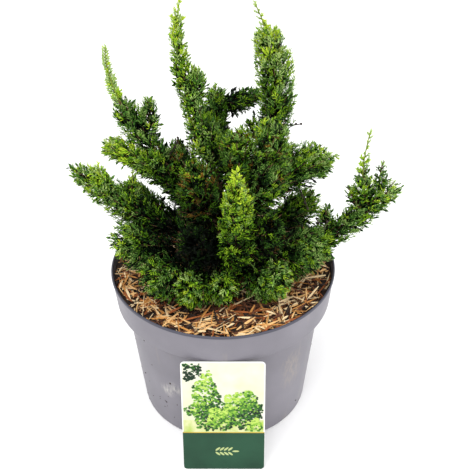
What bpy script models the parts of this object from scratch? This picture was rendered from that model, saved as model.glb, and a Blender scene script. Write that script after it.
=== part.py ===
"""Potted eastern arborvitae: a young dwarf conifer in a grey nursery pot, with a picture card.

Metres, +Z up. The origin is the centre of the pot's flat underside, and -Y is the front, where the
card leans. A trunk stands in the pot. Each mass of foliage is a plume round one limb, and a bough
carries it from the trunk to where its foliage starts.
"""
import math
import random
from dataclasses import dataclass

import bmesh
import bpy
from mathutils import Matrix, Vector

# Clearance between two pieces that touch, and the distance that welds two points into one
GAP = 0.0003
WELD = 0.00001

# Edge angles below which a surface is shaded smooth
POT_SMOOTH = math.radians(30)
BARK_SMOOTH = math.radians(60)

# Pot
TURN_STEPS = 40
POT_HEIGHT = 0.166
RIM_RADIUS = 0.115
LIP_HEIGHT = 0.003
LIP_OVERHANG = 0.0008
BAND_DEPTH = 0.035
BAND_FOOT_RADIUS = 0.111
BODY_TOP_RADIUS = 0.1017
FOOT_RADIUS = 0.0885
FOOT_BEVEL = 0.002
FOOT_FLAT_RADIUS = 0.075
FOOT_CORNER_STEPS = 4
FOOT_RISE = 0.0004
WALL = 0.0018
FLOOR = 0.0025
HOLE_COUNT = 6
HOLE_RADIUS = 0.005
HOLE_RING = 0.066
HOLE_SIDES = 8

# Growing medium and mulch
SOIL_TOP = 0.150
MULCH_TOP = 0.1565
MULCH_WAVE = 0.0011
MULCH_HOLE = 0.0165
MULCH_RINGS = (0.040, 0.068, 0.092)

# Trunk
TRUNK_FOOT = SOIL_TOP + GAP
TRUNK_TIP = 0.262
TRUNK_RADIUS = 0.0082
TRUNK_TIP_RADIUS = 0.0036
FLARE = 0.0052
FLARE_HEIGHT = 0.009
TRUNK_LEAN = Vector((-0.003, 0.005))
TRUNK_BOW = 0.002
TRUNK_SIDES = 12
TRUNK_STATIONS = 10
TRUNK_CROWDING = 1.6

# Boughs
BOUGH_SIDES = 6
BOUGH_RADIUS = 0.0029
BOUGH_TAPER = 0.72
BOUGH_STEP = 0.009

# Stems: how finely they are measured, and how many degrees a side shoot turns up along its length
SEED = 7
CURVE_STEPS = 48
AXIS_STEPS = 40
WOOD_STEPS = 30
LIMB_STEP = 0.003
SHOOT_DIP = 25
SHOOT_LIFT = 12
SHOOT_END = 0.5
NEARLY_UPRIGHT = 0.05

# How far foliage reaches from its stem: it swells over the first share of a mass's length, keeps its
# girth, and tapers from a later share on, unless its plume has a form. A slim leader, or whip, has a
# reach of its own.
SWELL_START = 0.45
SWELL_SHARE = 0.22
TAPER_FROM = 0.40
TAPER_POWER = 1.4
WHIP_REACH = 0.0058
WHIP_TIP_REACH = 0.0028

# Cores: the closed middle of each mass. A whip's radii are at its foot, middle and tip.
CORE_SIDES = 6
CORE_STEP = 0.016
CORE_SHARE = 0.62
WHIP_RADIUS = 0.0011
WHIP_CORE = (2 * WHIP_RADIUS, 1.4 * WHIP_RADIUS, WHIP_RADIUS)

# Leaves: their form in shares of their length, then how they stand, with lean in degrees
LEAF_WIDTH = 0.46
LEAF_THICKNESS = 0.13
LEAF_BELLY = 0.62
LEAF_KEEL = 0.8 * LEAF_BELLY
LEAF_ROOT = 0.3
LEAF_OVERSHOOT = 0.005
LEAF_SPACING = 0.0158
LEAF_CROWDING = 1.6
LEAF_FIRST = 0.35 * LEAF_SPACING
LEAF_LAST = 0.002
LEAF_LEAN = (42, 56)
LEAF_LENGTHS = (0.92, 1.08)
LEAF_TWIST = 0.5
LEAF_TRIES = (1.0, 0.8, 0.62)
TIP_LEAF = 0.010
TIP_LEAF_ROOT = 0.004
WHIP_LEAF_SPACING = 0.0085
WHIP_LEAF_LEAN = 52
GOLDEN_TURN = math.radians(137.5)

# Places on a leaf that are tested for room: from one corner to another, and the share of the way
LEAF_TESTS = ((0, 1, 0.35), (2, 1, 0.5), (3, 1, 0.5), (2, 0, 0.4), (3, 0, 0.4))

# Room that foliage leaves round its neighbours, over the mulch and inside the rim
CLEAR = 0.0008
MULCH_CLEAR = MULCH_TOP + 2 * MULCH_WAVE + CLEAR
RIM_CLEAR_HEIGHT = POT_HEIGHT + 0.0015
RIM_CLEAR_RADIUS = RIM_RADIUS - 0.0065

# Picture card
CARD_WIDTH = 0.082
CARD_LENGTH = 0.1335
CARD_THICKNESS = 0.0007
CARD_CORNER = 0.004
CARD_CORNER_STEPS = 4
CARD_CENTRE_X = -0.0022
CARD_TURN = math.radians(-1.5)
CARD_REST = 0.0014


@dataclass(frozen=True)
class Plume:
    """One mass of foliage with the limb under it. Lengths in metres, angles in degrees.

    The form holds shares of the girth at even steps from the mass's foot to its whip, for a plume with
    shoulders or a neck. Without a form the foliage swells, keeps its girth and tapers to the end share.
    """

    name: str
    azimuth: float
    reach: float
    top: float
    leaves_trunk: float
    first_slope: float
    last_slope: float
    girth: float
    bare: float = 0.040
    whip: float = 0.0
    pull: float = 1.0
    end: float = 0.4
    form: tuple = ()


@dataclass(frozen=True)
class Shoot:
    """A side shoot of a plume: where it leaves the plume's stem, and where it heads."""

    plume: str
    at: float
    azimuth: float
    slope: float
    length: float
    girth: float
    whip: float = 0.0


PLUMES = (
    # upper tier
    Plume("left_tall", 169, 0.106, 0.397, 0.2360, 30, 95, 0.030, bare=0.050, whip=0.055, pull=0.90,
          form=(0.80, 0.95, 1.0, 1.0, 1.0, 0.95, 0.40)),
    Plume("centre_tall", 150, 0.040, 0.441, TRUNK_TIP, 74, 106, 0.044, bare=0.0, whip=0.024,
          form=(0.85, 0.92, 0.88, 0.72, 0.58, 0.50, 0.55, 0.42, 0.38, 0.26)),
    Plume("right_tall", 35, 0.039, 0.436, 0.2310, 15, 119, 0.042, bare=0.028, whip=0.039, pull=1.11,
          form=(0.65, 0.80, 0.92, 1.0, 1.0, 0.95, 0.90, 0.66)),
    Plume("right_upper", 9, 0.114, 0.281, 0.2180, 32, 2, 0.052, bare=0.030, whip=0.018,
          form=(0.60, 0.90, 1.0, 1.0, 1.0, 0.60)),
    Plume("left_middle", 174, 0.105, 0.298, 0.2200, 34, 14, 0.034, bare=0.045,
          form=(0.80, 1.0, 1.0, 0.95, 0.90, 0.65)),
    Plume("back_arch", 94, 0.072, 0.332, 0.2330, 25, 86, 0.030, bare=0.034, whip=0.010,
          form=(0.90, 1.0, 1.0, 0.90, 0.80, 0.60)),
    Plume("left_upper", 152, 0.052, 0.280, 0.2300, 28, 66, 0.056, bare=0.0, end=0.6),
    Plume("heart_left", 235, 0.040, 0.290, 0.2250, 30, 82, 0.056, bare=0.0, end=0.6),
    Plume("heart_right", 336, 0.050, 0.326, 0.2270, 26, 84, 0.056, bare=0.0, end=0.6),
    Plume("heart_middle", 318, 0.022, 0.317, 0.2440, 36, 88, 0.052, bare=0.0, end=0.6),
    Plume("back_left", 128, 0.084, 0.246, 0.2060, 20, 58, 0.056, bare=0.026, end=0.6),
    Plume("back_right", 54, 0.082, 0.244, 0.2080, 20, 58, 0.056, bare=0.026, end=0.6),
    # lower tier
    Plume("right_arm", 354, 0.164, 0.266, 0.1885, -14, 48, 0.032, bare=0.034, pull=1.4,
          form=(1.0, 1.0, 1.0, 0.95, 0.90, 0.95, 0.90, 0.60)),
    Plume("left_low", 184, 0.138, 0.286, 0.1950, 4, 42, 0.041, bare=0.034,
          form=(0.70, 1.0, 1.0, 0.90, 0.70, 0.40)),
    Plume("front_centre", 281, 0.068, 0.319, 0.1840, -5, 93, 0.038, bare=0.028, whip=0.012, pull=1.1,
          form=(0.70, 0.95, 1.0, 1.0, 0.95, 0.85, 0.65, 0.40)),
    Plume("front_right", 338, 0.098, 0.214, 0.1810, 4, 34, 0.062, bare=0.028, end=0.6),
    Plume("front_right_low", 308, 0.082, 0.194, 0.1730, 4, 24, 0.056, bare=0.022, end=0.6),
    Plume("heart_front_right", 312, 0.062, 0.238, 0.2040, 12, 55, 0.060, bare=0.0, end=0.6),
    Plume("left_front", 203, 0.100, 0.226, 0.1880, 2, 44, 0.058, bare=0.030, end=0.6),
    Plume("left_front_low", 225, 0.092, 0.200, 0.1790, 0, 30, 0.056, bare=0.026, end=0.6),
    Plume("heart_front_left", 246, 0.060, 0.230, 0.2010, 10, 55, 0.062, bare=0.0, end=0.6),
    Plume("front_left_low", 244, 0.080, 0.192, 0.1728, 4, 28, 0.052, bare=0.022, end=0.6),
    Plume("front_low", 268, 0.066, 0.188, 0.1650, 14, 30, 0.048, bare=0.018, end=0.6),
    Plume("back_low_right", 70, 0.098, 0.218, 0.1820, 4, 45, 0.054, bare=0.028, end=0.6),
    Plume("back_low_left", 112, 0.098, 0.214, 0.1760, 4, 45, 0.054, bare=0.028, end=0.6),
    Plume("back_left_low", 152, 0.106, 0.220, 0.1860, 4, 42, 0.056, bare=0.028, end=0.6),
    Plume("back_right_low", 28, 0.100, 0.208, 0.1780, 4, 34, 0.054, bare=0.028, end=0.6),
)

SHOOTS = (
    Shoot("right_arm", 0.84, 176, 86, 0.082, 0.022, whip=0.044),
    Shoot("right_arm", 0.58, 178, 75, 0.030, 0.022),
    Shoot("right_arm", 0.92, 110, 84, 0.034, 0.014),
    Shoot("right_arm", 0.80, 178, 58, 0.030, 0.015),
    Shoot("left_low", 0.72, 196, 72, 0.040, 0.024, whip=0.010),
    Shoot("left_low", 0.64, 10, 74, 0.038, 0.020, whip=0.010),
    Shoot("centre_tall", 0.44, 340, 80, 0.036, 0.020),
    Shoot("back_arch", 0.86, 4, 8, 0.042, 0.028),
    Shoot("right_upper", 0.50, 60, 70, 0.036, 0.024),
    Shoot("left_tall", 0.50, 352, 80, 0.040, 0.024),
    Shoot("right_tall", 0.34, 186, 50, 0.030, 0.022),
    Shoot("left_middle", 0.62, 265, 62, 0.028, 0.024),
    Shoot("back_left", 0.60, 190, 70, 0.036, 0.026),
    Shoot("back_right", 0.60, 330, 70, 0.034, 0.026),
)


def clear_scene():
    """Remove every object of the open file."""
    for thing in list(bpy.data.objects):
        bpy.data.objects.remove(thing, do_unlink=True)


def make_material(name, colour, roughness, metallic=0.0):
    """Return a Principled material of one colour."""
    material = bpy.data.materials.new(name)
    material.use_nodes = True
    shader = material.node_tree.nodes["Principled BSDF"]
    shader.inputs["Base Color"].default_value = (*colour, 1.0)
    shader.inputs["Roughness"].default_value = roughness
    shader.inputs["Metallic"].default_value = metallic
    return material


def add_object(name, bm, material, smooth=None):
    """Turn a bmesh into a scene object, shaded smooth below an edge angle where one is given."""
    mesh = bpy.data.meshes.new(name)
    bm.to_mesh(mesh)
    bm.free()
    if smooth is not None:
        mesh.shade_smooth()
        mesh.set_sharp_from_angle(angle=smooth)
    mesh.materials.append(material)
    thing = bpy.data.objects.new(name, mesh)
    bpy.context.scene.collection.objects.link(thing)
    return thing


def apply_modifiers(thing):
    """Apply the modifiers of an object in order."""
    for modifier in list(thing.modifiers):
        with bpy.context.temp_override(object=thing):
            bpy.ops.object.modifier_apply(modifier=modifier.name)


def keep_largest_body(mesh):
    """Fill the hollows that fusing sealed and drop loose scraps: only the outer skin stays."""
    bm = bmesh.new()
    bm.from_mesh(mesh)
    left = set(bm.verts)
    bodies = []
    while left:
        body, edge_of_body = set(), [left.pop()]
        while edge_of_body:
            vert = edge_of_body.pop()
            body.add(vert)
            for edge in vert.link_edges:
                other = edge.other_vert(vert)
                if other in left:
                    left.remove(other)
                    edge_of_body.append(other)
        bodies.append(body)
    bodies.sort(key=len)
    for body in bodies[:-1]:
        bmesh.ops.delete(bm, geom=list(body), context="VERTS")
    bm.to_mesh(mesh)
    bm.free()


def turned(profile):
    """Return a bmesh of a profile of (radius, height) turned round the Z axis."""
    bm = bmesh.new()
    verts = [bm.verts.new((radius, 0.0, height)) for radius, height in profile]
    edges = [bm.edges.new(pair) for pair in zip(verts, verts[1:])]
    bmesh.ops.spin(bm, geom=verts + edges, cent=(0, 0, 0), axis=(0, 0, 1), angle=math.tau,
                   steps=TURN_STEPS, use_merge=True)
    bmesh.ops.remove_doubles(bm, verts=bm.verts[:], dist=WELD)
    bmesh.ops.recalc_face_normals(bm, faces=bm.faces[:])
    return bm


def raise_foot_edge(bm):
    """Raise the edge of the pot's underside between the corners that it stands on."""
    for vert in bm.verts:
        step = round(math.atan2(vert.co.y, vert.co.x) * TURN_STEPS / math.tau)
        on_edge = vert.co.z < WELD and vert.co.xy.length > FOOT_FLAT_RADIUS + WELD
        if on_edge and step % FOOT_CORNER_STEPS:
            vert.co.z = FOOT_RISE


def band_inner_radius(height):
    """Return the pot's inside radius at a height within its band."""
    ledge = POT_HEIGHT - BAND_DEPTH + WALL
    share = (height - ledge) / (POT_HEIGHT - ledge)
    return BAND_FOOT_RADIUS - WALL + share * (RIM_RADIUS - BAND_FOOT_RADIUS)


def build_pot(material):
    """Build the pot: a turned shell with a deep band under its rim, and holes in its floor."""
    band_foot = POT_HEIGHT - BAND_DEPTH
    lip_foot = POT_HEIGHT - LIP_HEIGHT
    profile = (
        (0.0, 0.0),
        (FOOT_FLAT_RADIUS, 0.0),
        (FOOT_RADIUS - FOOT_BEVEL, 0.0),
        (FOOT_RADIUS, FOOT_BEVEL),
        (BODY_TOP_RADIUS, band_foot),
        (BAND_FOOT_RADIUS, band_foot),
        (RIM_RADIUS - LIP_OVERHANG, lip_foot),
        (RIM_RADIUS, lip_foot + LIP_OVERHANG),
        (RIM_RADIUS, POT_HEIGHT - LIP_OVERHANG),
        (RIM_RADIUS - LIP_OVERHANG, POT_HEIGHT),
        (RIM_RADIUS - WALL, POT_HEIGHT),
        (BAND_FOOT_RADIUS - WALL, band_foot + WALL),
        (BODY_TOP_RADIUS - WALL, band_foot + WALL),
        (FOOT_RADIUS - WALL, FLOOR),
        (0.0, FLOOR),
    )
    shell = turned(profile)
    raise_foot_edge(shell)
    pot = add_object("pot", shell, material, smooth=POT_SMOOTH)
    drill = bmesh.new()
    for index in range(HOLE_COUNT):
        turn = Matrix.Rotation(math.tau * index / HOLE_COUNT, 4, "Z")
        place = turn @ Matrix.Translation((HOLE_RING, 0.0, FLOOR / 2))
        bmesh.ops.create_cone(drill, cap_ends=True, segments=HOLE_SIDES, radius1=HOLE_RADIUS,
                              radius2=HOLE_RADIUS, depth=4 * FLOOR, matrix=place)
    cutter = add_object("pot_drill", drill, material)
    cutter.hide_render = True
    cutter.display_type = "WIRE"
    cut = pot.modifiers.new("drain_holes", "BOOLEAN")
    cut.operation = "DIFFERENCE"
    cut.object = cutter
    return pot


def build_growing_medium(material):
    """Build the block of growing medium that fills the pot up to the mulch."""
    ledge = POT_HEIGHT - BAND_DEPTH + WALL + GAP
    profile = (
        (0.0, FLOOR + GAP),
        (FOOT_RADIUS - WALL - 2 * GAP, FLOOR + GAP),
        (BODY_TOP_RADIUS - WALL - 2 * GAP, ledge),
        (BAND_FOOT_RADIUS - WALL - GAP, ledge),
        (band_inner_radius(SOIL_TOP) - GAP, SOIL_TOP),
        (0.0, SOIL_TOP),
    )
    return add_object("growing_medium", turned(profile), material)


def build_mulch(material):
    """Build the layer of bark mulch: a ring round the trunk with an uneven top."""
    rng = random.Random(SEED)
    foot = SOIL_TOP + GAP
    edge = band_inner_radius(foot) - GAP
    top_edge = band_inner_radius(MULCH_TOP) - 2 * GAP
    profile = [(MULCH_HOLE, foot), (edge, foot), (top_edge, MULCH_TOP)]
    profile += [(radius, MULCH_TOP) for radius in reversed(MULCH_RINGS)]
    profile += [(MULCH_HOLE, MULCH_TOP), (MULCH_HOLE, foot)]
    bm = turned(profile)
    for vert in bm.verts:
        inside = MULCH_HOLE + GAP < vert.co.xy.length < top_edge - GAP
        if inside and vert.co.z > foot + GAP:
            vert.co.z += rng.uniform(-MULCH_WAVE, 2 * MULCH_WAVE)
    return add_object("mulch", bm, material)


def trunk_point(height):
    """Return the middle of the trunk at a height: a slight lean with a bow in it."""
    share = (height - TRUNK_FOOT) / (TRUNK_TIP - TRUNK_FOOT)
    middle = TRUNK_LEAN * share
    return Vector((middle.x + TRUNK_BOW * math.sin(math.pi * share), middle.y, height))


def trunk_radius(height):
    """Return the trunk's radius at a height: an even taper over a root flare."""
    rise = height - TRUNK_FOOT
    share = rise / (TRUNK_TIP - TRUNK_FOOT)
    taper = TRUNK_RADIUS + (TRUNK_TIP_RADIUS - TRUNK_RADIUS) * share
    return taper + FLARE * math.exp(-rise / FLARE_HEIGHT)


def heading(azimuth, slope):
    """Return the unit vector of a compass angle and a slope, both in degrees."""
    turn, climb = math.radians(azimuth), math.radians(slope)
    return Vector((math.cos(climb) * math.cos(turn), math.cos(climb) * math.sin(turn), math.sin(climb)))


class Path:
    """A smooth limb from one point to another that sets off and ends at given directions."""

    def __init__(self, start, end, leave, arrive, pull=1.0):
        span = (end - start).length * pull
        self.points = []
        for step in range(CURVE_STEPS + 1):
            t = step / CURVE_STEPS
            self.points.append(start * (2 * t**3 - 3 * t**2 + 1) + leave * span * (t**3 - 2 * t**2 + t)
                               + end * (3 * t**2 - 2 * t**3) + arrive * span * (t**3 - t**2))
        self.lengths = [0.0]
        for before, after in zip(self.points, self.points[1:]):
            self.lengths.append(self.lengths[-1] + (after - before).length)
        self.length = self.lengths[-1]

    def at(self, distance):
        """Return the point and the direction at a distance along the path."""
        distance = min(max(distance, 0.0), self.length)
        index = 0
        while index < CURVE_STEPS - 1 and self.lengths[index + 1] < distance:
            index += 1
        before, after = self.points[index], self.points[index + 1]
        share = (distance - self.lengths[index]) / (self.lengths[index + 1] - self.lengths[index])
        return before.lerp(after, share), (after - before).normalized()


class Axis:
    """A stem inside a mass: its path, where its foliage starts, its girth and its slim leader."""

    def __init__(self, path, start, girth, whip, end, form=()):
        self.path = path
        self.start = start
        self.girth = girth
        self.whip = whip
        self.end = end
        self.form = form
        self.body_end = path.length - whip
        distances = [start + (path.length - start) * step / AXIS_STEPS for step in range(AXIS_STEPS + 1)]
        self.points = [path.at(distance)[0] for distance in distances]
        self.reach = [self.radius(distance) for distance in distances]
        self.core = []

    def core_at(self, distance):
        """Return the core's radius at a distance along the path."""
        place = (distance - self.start) / (self.path.length - self.start) * (len(self.core) - 1)
        low = min(max(int(place), 0), len(self.core) - 2)
        return min(self.core[low], self.core[low + 1])

    def radius(self, distance):
        """Return the foliage's radius at a distance along the path."""
        if self.whip and distance > self.body_end:
            share = (distance - self.body_end) / self.whip
            return WHIP_REACH + (WHIP_TIP_REACH - WHIP_REACH) * share
        share = (distance - self.start) / (self.body_end - self.start)
        if self.form:
            place = share * (len(self.form) - 1)
            low = min(int(place), len(self.form) - 2)
            step = self.form[low + 1] - self.form[low]
            return self.girth / 2 * (self.form[low] + step * (place - low))
        swell = min(1.0, SWELL_START + share / SWELL_SHARE)
        fade = max(0.0, (share - TAPER_FROM) / (1.0 - TAPER_FROM)) ** TAPER_POWER
        return self.girth / 2 * swell * (1.0 - (1.0 - self.end) * fade)


def limb_root(plume):
    """Return where a limb's middle meets the trunk's side, clear of the trunk by the gap."""
    out = heading(plume.azimuth, 0)
    middle = trunk_point(plume.leaves_trunk)
    tall = BOUGH_RADIUS / math.cos(math.radians(plume.first_slope))
    offsets = []
    for height in (plume.leaves_trunk - tall, plume.leaves_trunk, plume.leaves_trunk + tall):
        offsets.append((trunk_point(height) - middle).dot(out) + trunk_radius(height))
    return middle + out * (max(offsets) + GAP)


def plume_path(plume):
    """Return the path of a plume's limb, from the trunk to the plume's tip."""
    tip = heading(plume.azimuth, 0) * plume.reach + Vector((0, 0, plume.top))
    if plume.leaves_trunk >= TRUNK_TIP:
        root = trunk_point(TRUNK_TIP) + Vector((0, 0, GAP))
    else:
        root = limb_root(plume)
    return Path(root, tip, heading(plume.azimuth, plume.first_slope),
                heading(plume.azimuth, plume.last_slope), plume.pull)


def shoot_path(shoot, stem):
    """Return the path of a side shoot, which turns up towards its tip."""
    root = stem.at(stem.length * shoot.at)[0]
    tip = root + heading(shoot.azimuth, shoot.slope) * shoot.length
    return Path(root, tip, heading(shoot.azimuth, shoot.slope - SHOOT_DIP),
                heading(shoot.azimuth, shoot.slope + SHOOT_LIFT))


def station(point, side, up, radius):
    """Return the matrix that places a unit circle across a limb."""
    across = side * radius
    rise = up * radius
    normal = side.cross(up)
    return Matrix(((across.x, rise.x, normal.x, point.x), (across.y, rise.y, normal.y, point.y),
                   (across.z, rise.z, normal.z, point.z), (0, 0, 0, 1)))


def stations_along(path, distances, radii):
    """Return circle placements along a path that don't twist."""
    side = None
    placed = []
    for distance, radius in zip(distances, radii):
        point, forward = path.at(distance)
        if side is None:
            side = forward.cross(Vector((0, 0, 1)))
            if side.length < NEARLY_UPRIGHT:
                side = forward.cross(Vector((0, 1, 0)))
        side = (side - forward * side.dot(forward)).normalized()
        placed.append(station(point, side, side.cross(forward), radius))
    return placed


def sweep(stations, sides):
    """Return a bmesh of a circle extruded from placement to placement, closed at both ends."""
    bm = bmesh.new()
    bmesh.ops.create_circle(bm, segments=sides, radius=1.0, cap_ends=True, matrix=stations[0])
    edges = bm.edges[:]
    for before, after in zip(stations, stations[1:]):
        made = bmesh.ops.extrude_edge_only(bm, edges=edges)["geom"]
        fresh = {item for item in made if isinstance(item, bmesh.types.BMVert)}
        edges = [edge for edge in bm.edges if edge.verts[0] in fresh and edge.verts[1] in fresh]
        bmesh.ops.transform(bm, matrix=after @ before.inverted(), verts=list(fresh))
    bmesh.ops.edgeloop_fill(bm, edges=edges)
    bmesh.ops.recalc_face_normals(bm, faces=bm.faces[:])
    return bm


def evenly(first, last, step):
    """Return distances from first to last, close to a step apart."""
    count = max(1, round((last - first) / step))
    return [first + (last - first) * index / count for index in range(count + 1)]


def bough_radius(distance, bare):
    """Return a bough's radius at a distance along it."""
    return BOUGH_RADIUS * (1 - (1 - BOUGH_TAPER) * distance / bare)


def build_trunk(material):
    """Build the trunk, from its flat cut on the growing medium to its tip under the tallest plume."""
    heights = [TRUNK_FOOT + (TRUNK_TIP - TRUNK_FOOT) * (index / (TRUNK_STATIONS - 1)) ** TRUNK_CROWDING
               for index in range(TRUNK_STATIONS)]
    stations = [station(trunk_point(height), Vector((1, 0, 0)), Vector((0, 1, 0)), trunk_radius(height))
                for height in heights]
    return add_object("trunk", sweep(stations, TRUNK_SIDES), material, smooth=BARK_SMOOTH)


def build_bough(plume, path, material):
    """Build one bough: a tapering limb, cut flat against the trunk's side."""
    distances = evenly(0.0, plume.bare, BOUGH_STEP)
    radii = [bough_radius(distance, plume.bare) for distance in distances]
    stations = stations_along(path, distances, radii)
    out = heading(plume.azimuth, 0)
    side = out.cross(Vector((0, 0, 1)))
    tall = Vector((0, 0, 1 / math.cos(math.radians(plume.first_slope))))
    stations[0] = station(path.at(0.0)[0], side, tall, radii[0])
    return add_object("bough_" + plume.name, sweep(stations, BOUGH_SIDES), material, smooth=BARK_SMOOTH)


def build_card(material):
    """Build the picture card, which stands on the floor and leans on the pot's band."""
    band_slope = (RIM_RADIUS - BAND_FOOT_RADIUS) / BAND_DEPTH
    lean_top = -(BAND_FOOT_RADIUS + band_slope * CARD_REST + GAP)
    rise = POT_HEIGHT - BAND_DEPTH + CARD_REST
    lean = math.acos(rise / CARD_LENGTH)
    bm = bmesh.new()
    bmesh.ops.create_cube(bm, size=1.0)
    bmesh.ops.scale(bm, vec=(CARD_WIDTH, CARD_THICKNESS, CARD_LENGTH), verts=bm.verts[:])
    corners = [edge for edge in bm.edges
               if abs(edge.verts[0].co.y - edge.verts[1].co.y) > CARD_THICKNESS / 2]
    bmesh.ops.bevel(bm, geom=corners, offset=CARD_CORNER, affect="EDGES", segments=CARD_CORNER_STEPS,
                    profile=0.5, material=-1, clamp_overlap=True)
    bmesh.ops.translate(bm, vec=(0, -CARD_THICKNESS / 2, CARD_LENGTH / 2), verts=bm.verts[:])
    card = add_object("picture_card", bm, material)
    foot_lift = CARD_THICKNESS * math.sin(lean)
    foot_y = lean_top - CARD_LENGTH * math.sin(lean)
    card.location = (CARD_CENTRE_X, foot_y, foot_lift)
    card.rotation_euler = (-lean, 0.0, CARD_TURN)
    return card


class Crown:
    """All stems of the plant, and the rule that keeps each mass to its own space."""

    def __init__(self):
        self.paths = {plume.name: plume_path(plume) for plume in PLUMES}
        self.axes = {}
        for plume in PLUMES:
            path = self.paths[plume.name]
            self.axes[plume.name] = [Axis(path, plume.bare + GAP, plume.girth, plume.whip, plume.end,
                                          plume.form)]
        for shoot in SHOOTS:
            path = shoot_path(shoot, self.paths[shoot.plume])
            self.axes[shoot.plume].append(Axis(path, 0.0, shoot.girth, shoot.whip, SHOOT_END))
        rise = (TRUNK_TIP - TRUNK_FOOT) / WOOD_STEPS
        heights = [TRUNK_FOOT + rise * step for step in range(WOOD_STEPS + 1)]
        self.wood = [(trunk_point(height), trunk_radius(height)) for height in heights]
        self.limbs = {}
        for plume in PLUMES:
            limb = []
            for distance in evenly(0.0, plume.bare, LIMB_STEP) if plume.bare else ():
                limb.append((self.paths[plume.name].at(distance)[0], bough_radius(distance, plume.bare)))
            self.limbs[plume.name] = limb
        for name, axes in self.axes.items():
            for axis in axes:
                axis.core = [self.core_radius(name, point, reach)
                             for point, reach in zip(axis.points, axis.reach)]

    def others(self, name):
        """Yield the axes of every other mass."""
        for other, axes in self.axes.items():
            if other != name:
                yield from axes

    def core_radius(self, name, point, reach):
        """Return the core's radius at a point of a stem: a share of the foliage's, where there is room."""
        wanted = reach * CORE_SHARE
        for other in self.others(name):
            nearest = min((point - middle).length for middle in other.points)
            wanted = min(wanted, (nearest - 2 * CLEAR) / 2)
        for other, limb in self.limbs.items():
            for middle, radius in limb if other != name else ():
                wanted = min(wanted, (point - middle).length - radius - 2 * CLEAR)
        for middle, radius in self.wood:
            room = (point - middle).length - radius - 2 * CLEAR
            wanted = min(wanted, room) if room > 0 else min(wanted, BOUGH_RADIUS * BOUGH_TAPER)
        return max(wanted, WHIP_RADIUS)

    def clear_at(self, name, point):
        """Tell whether a point belongs to a mass: nearer to it than to any other, and clear of the rest."""
        if point.z < MULCH_CLEAR:
            return False
        if point.z < RIM_CLEAR_HEIGHT and point.xy.length > RIM_CLEAR_RADIUS:
            return False
        own = min((point - middle).length - reach
                  for axis in self.axes[name] for middle, reach in zip(axis.points, axis.reach))
        for other in self.others(name):
            for middle, reach, core in zip(other.points, other.reach, other.core):
                away = (point - middle).length
                if away - reach < own + CLEAR or away < core + 2 * CLEAR:
                    return False
        for middle, radius in self.wood:
            if (point - middle).length < radius + 2 * CLEAR:
                return False
        for other, limb in self.limbs.items():
            for middle, radius in limb:
                if (point - middle).length < radius + 2 * CLEAR:
                    return False
        return True


def leaf_points(place, length):
    """Return the six corners of a leaf: root, tip, two sides, face and back."""
    width, thickness = length * LEAF_WIDTH / 2, length * LEAF_THICKNESS / 2
    belly = length * LEAF_BELLY
    keel = length * LEAF_KEEL
    corners = ((0, 0, 0), (length, 0, 0), (belly, width, 0), (belly, -width, 0),
               (keel, 0, thickness), (keel, 0, -thickness))
    return [place @ Vector(corner) for corner in corners]


def leaf_place(root, direction, across):
    """Return the matrix of a leaf: its root, the way it points, and the way it is wide."""
    along = direction.normalized()
    normal = along.cross(across).normalized()
    wide = normal.cross(along)
    return Matrix(((along.x, wide.x, normal.x, root.x), (along.y, wide.y, normal.y, root.y),
                   (along.z, wide.z, normal.z, root.z), (0, 0, 0, 1)))


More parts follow.
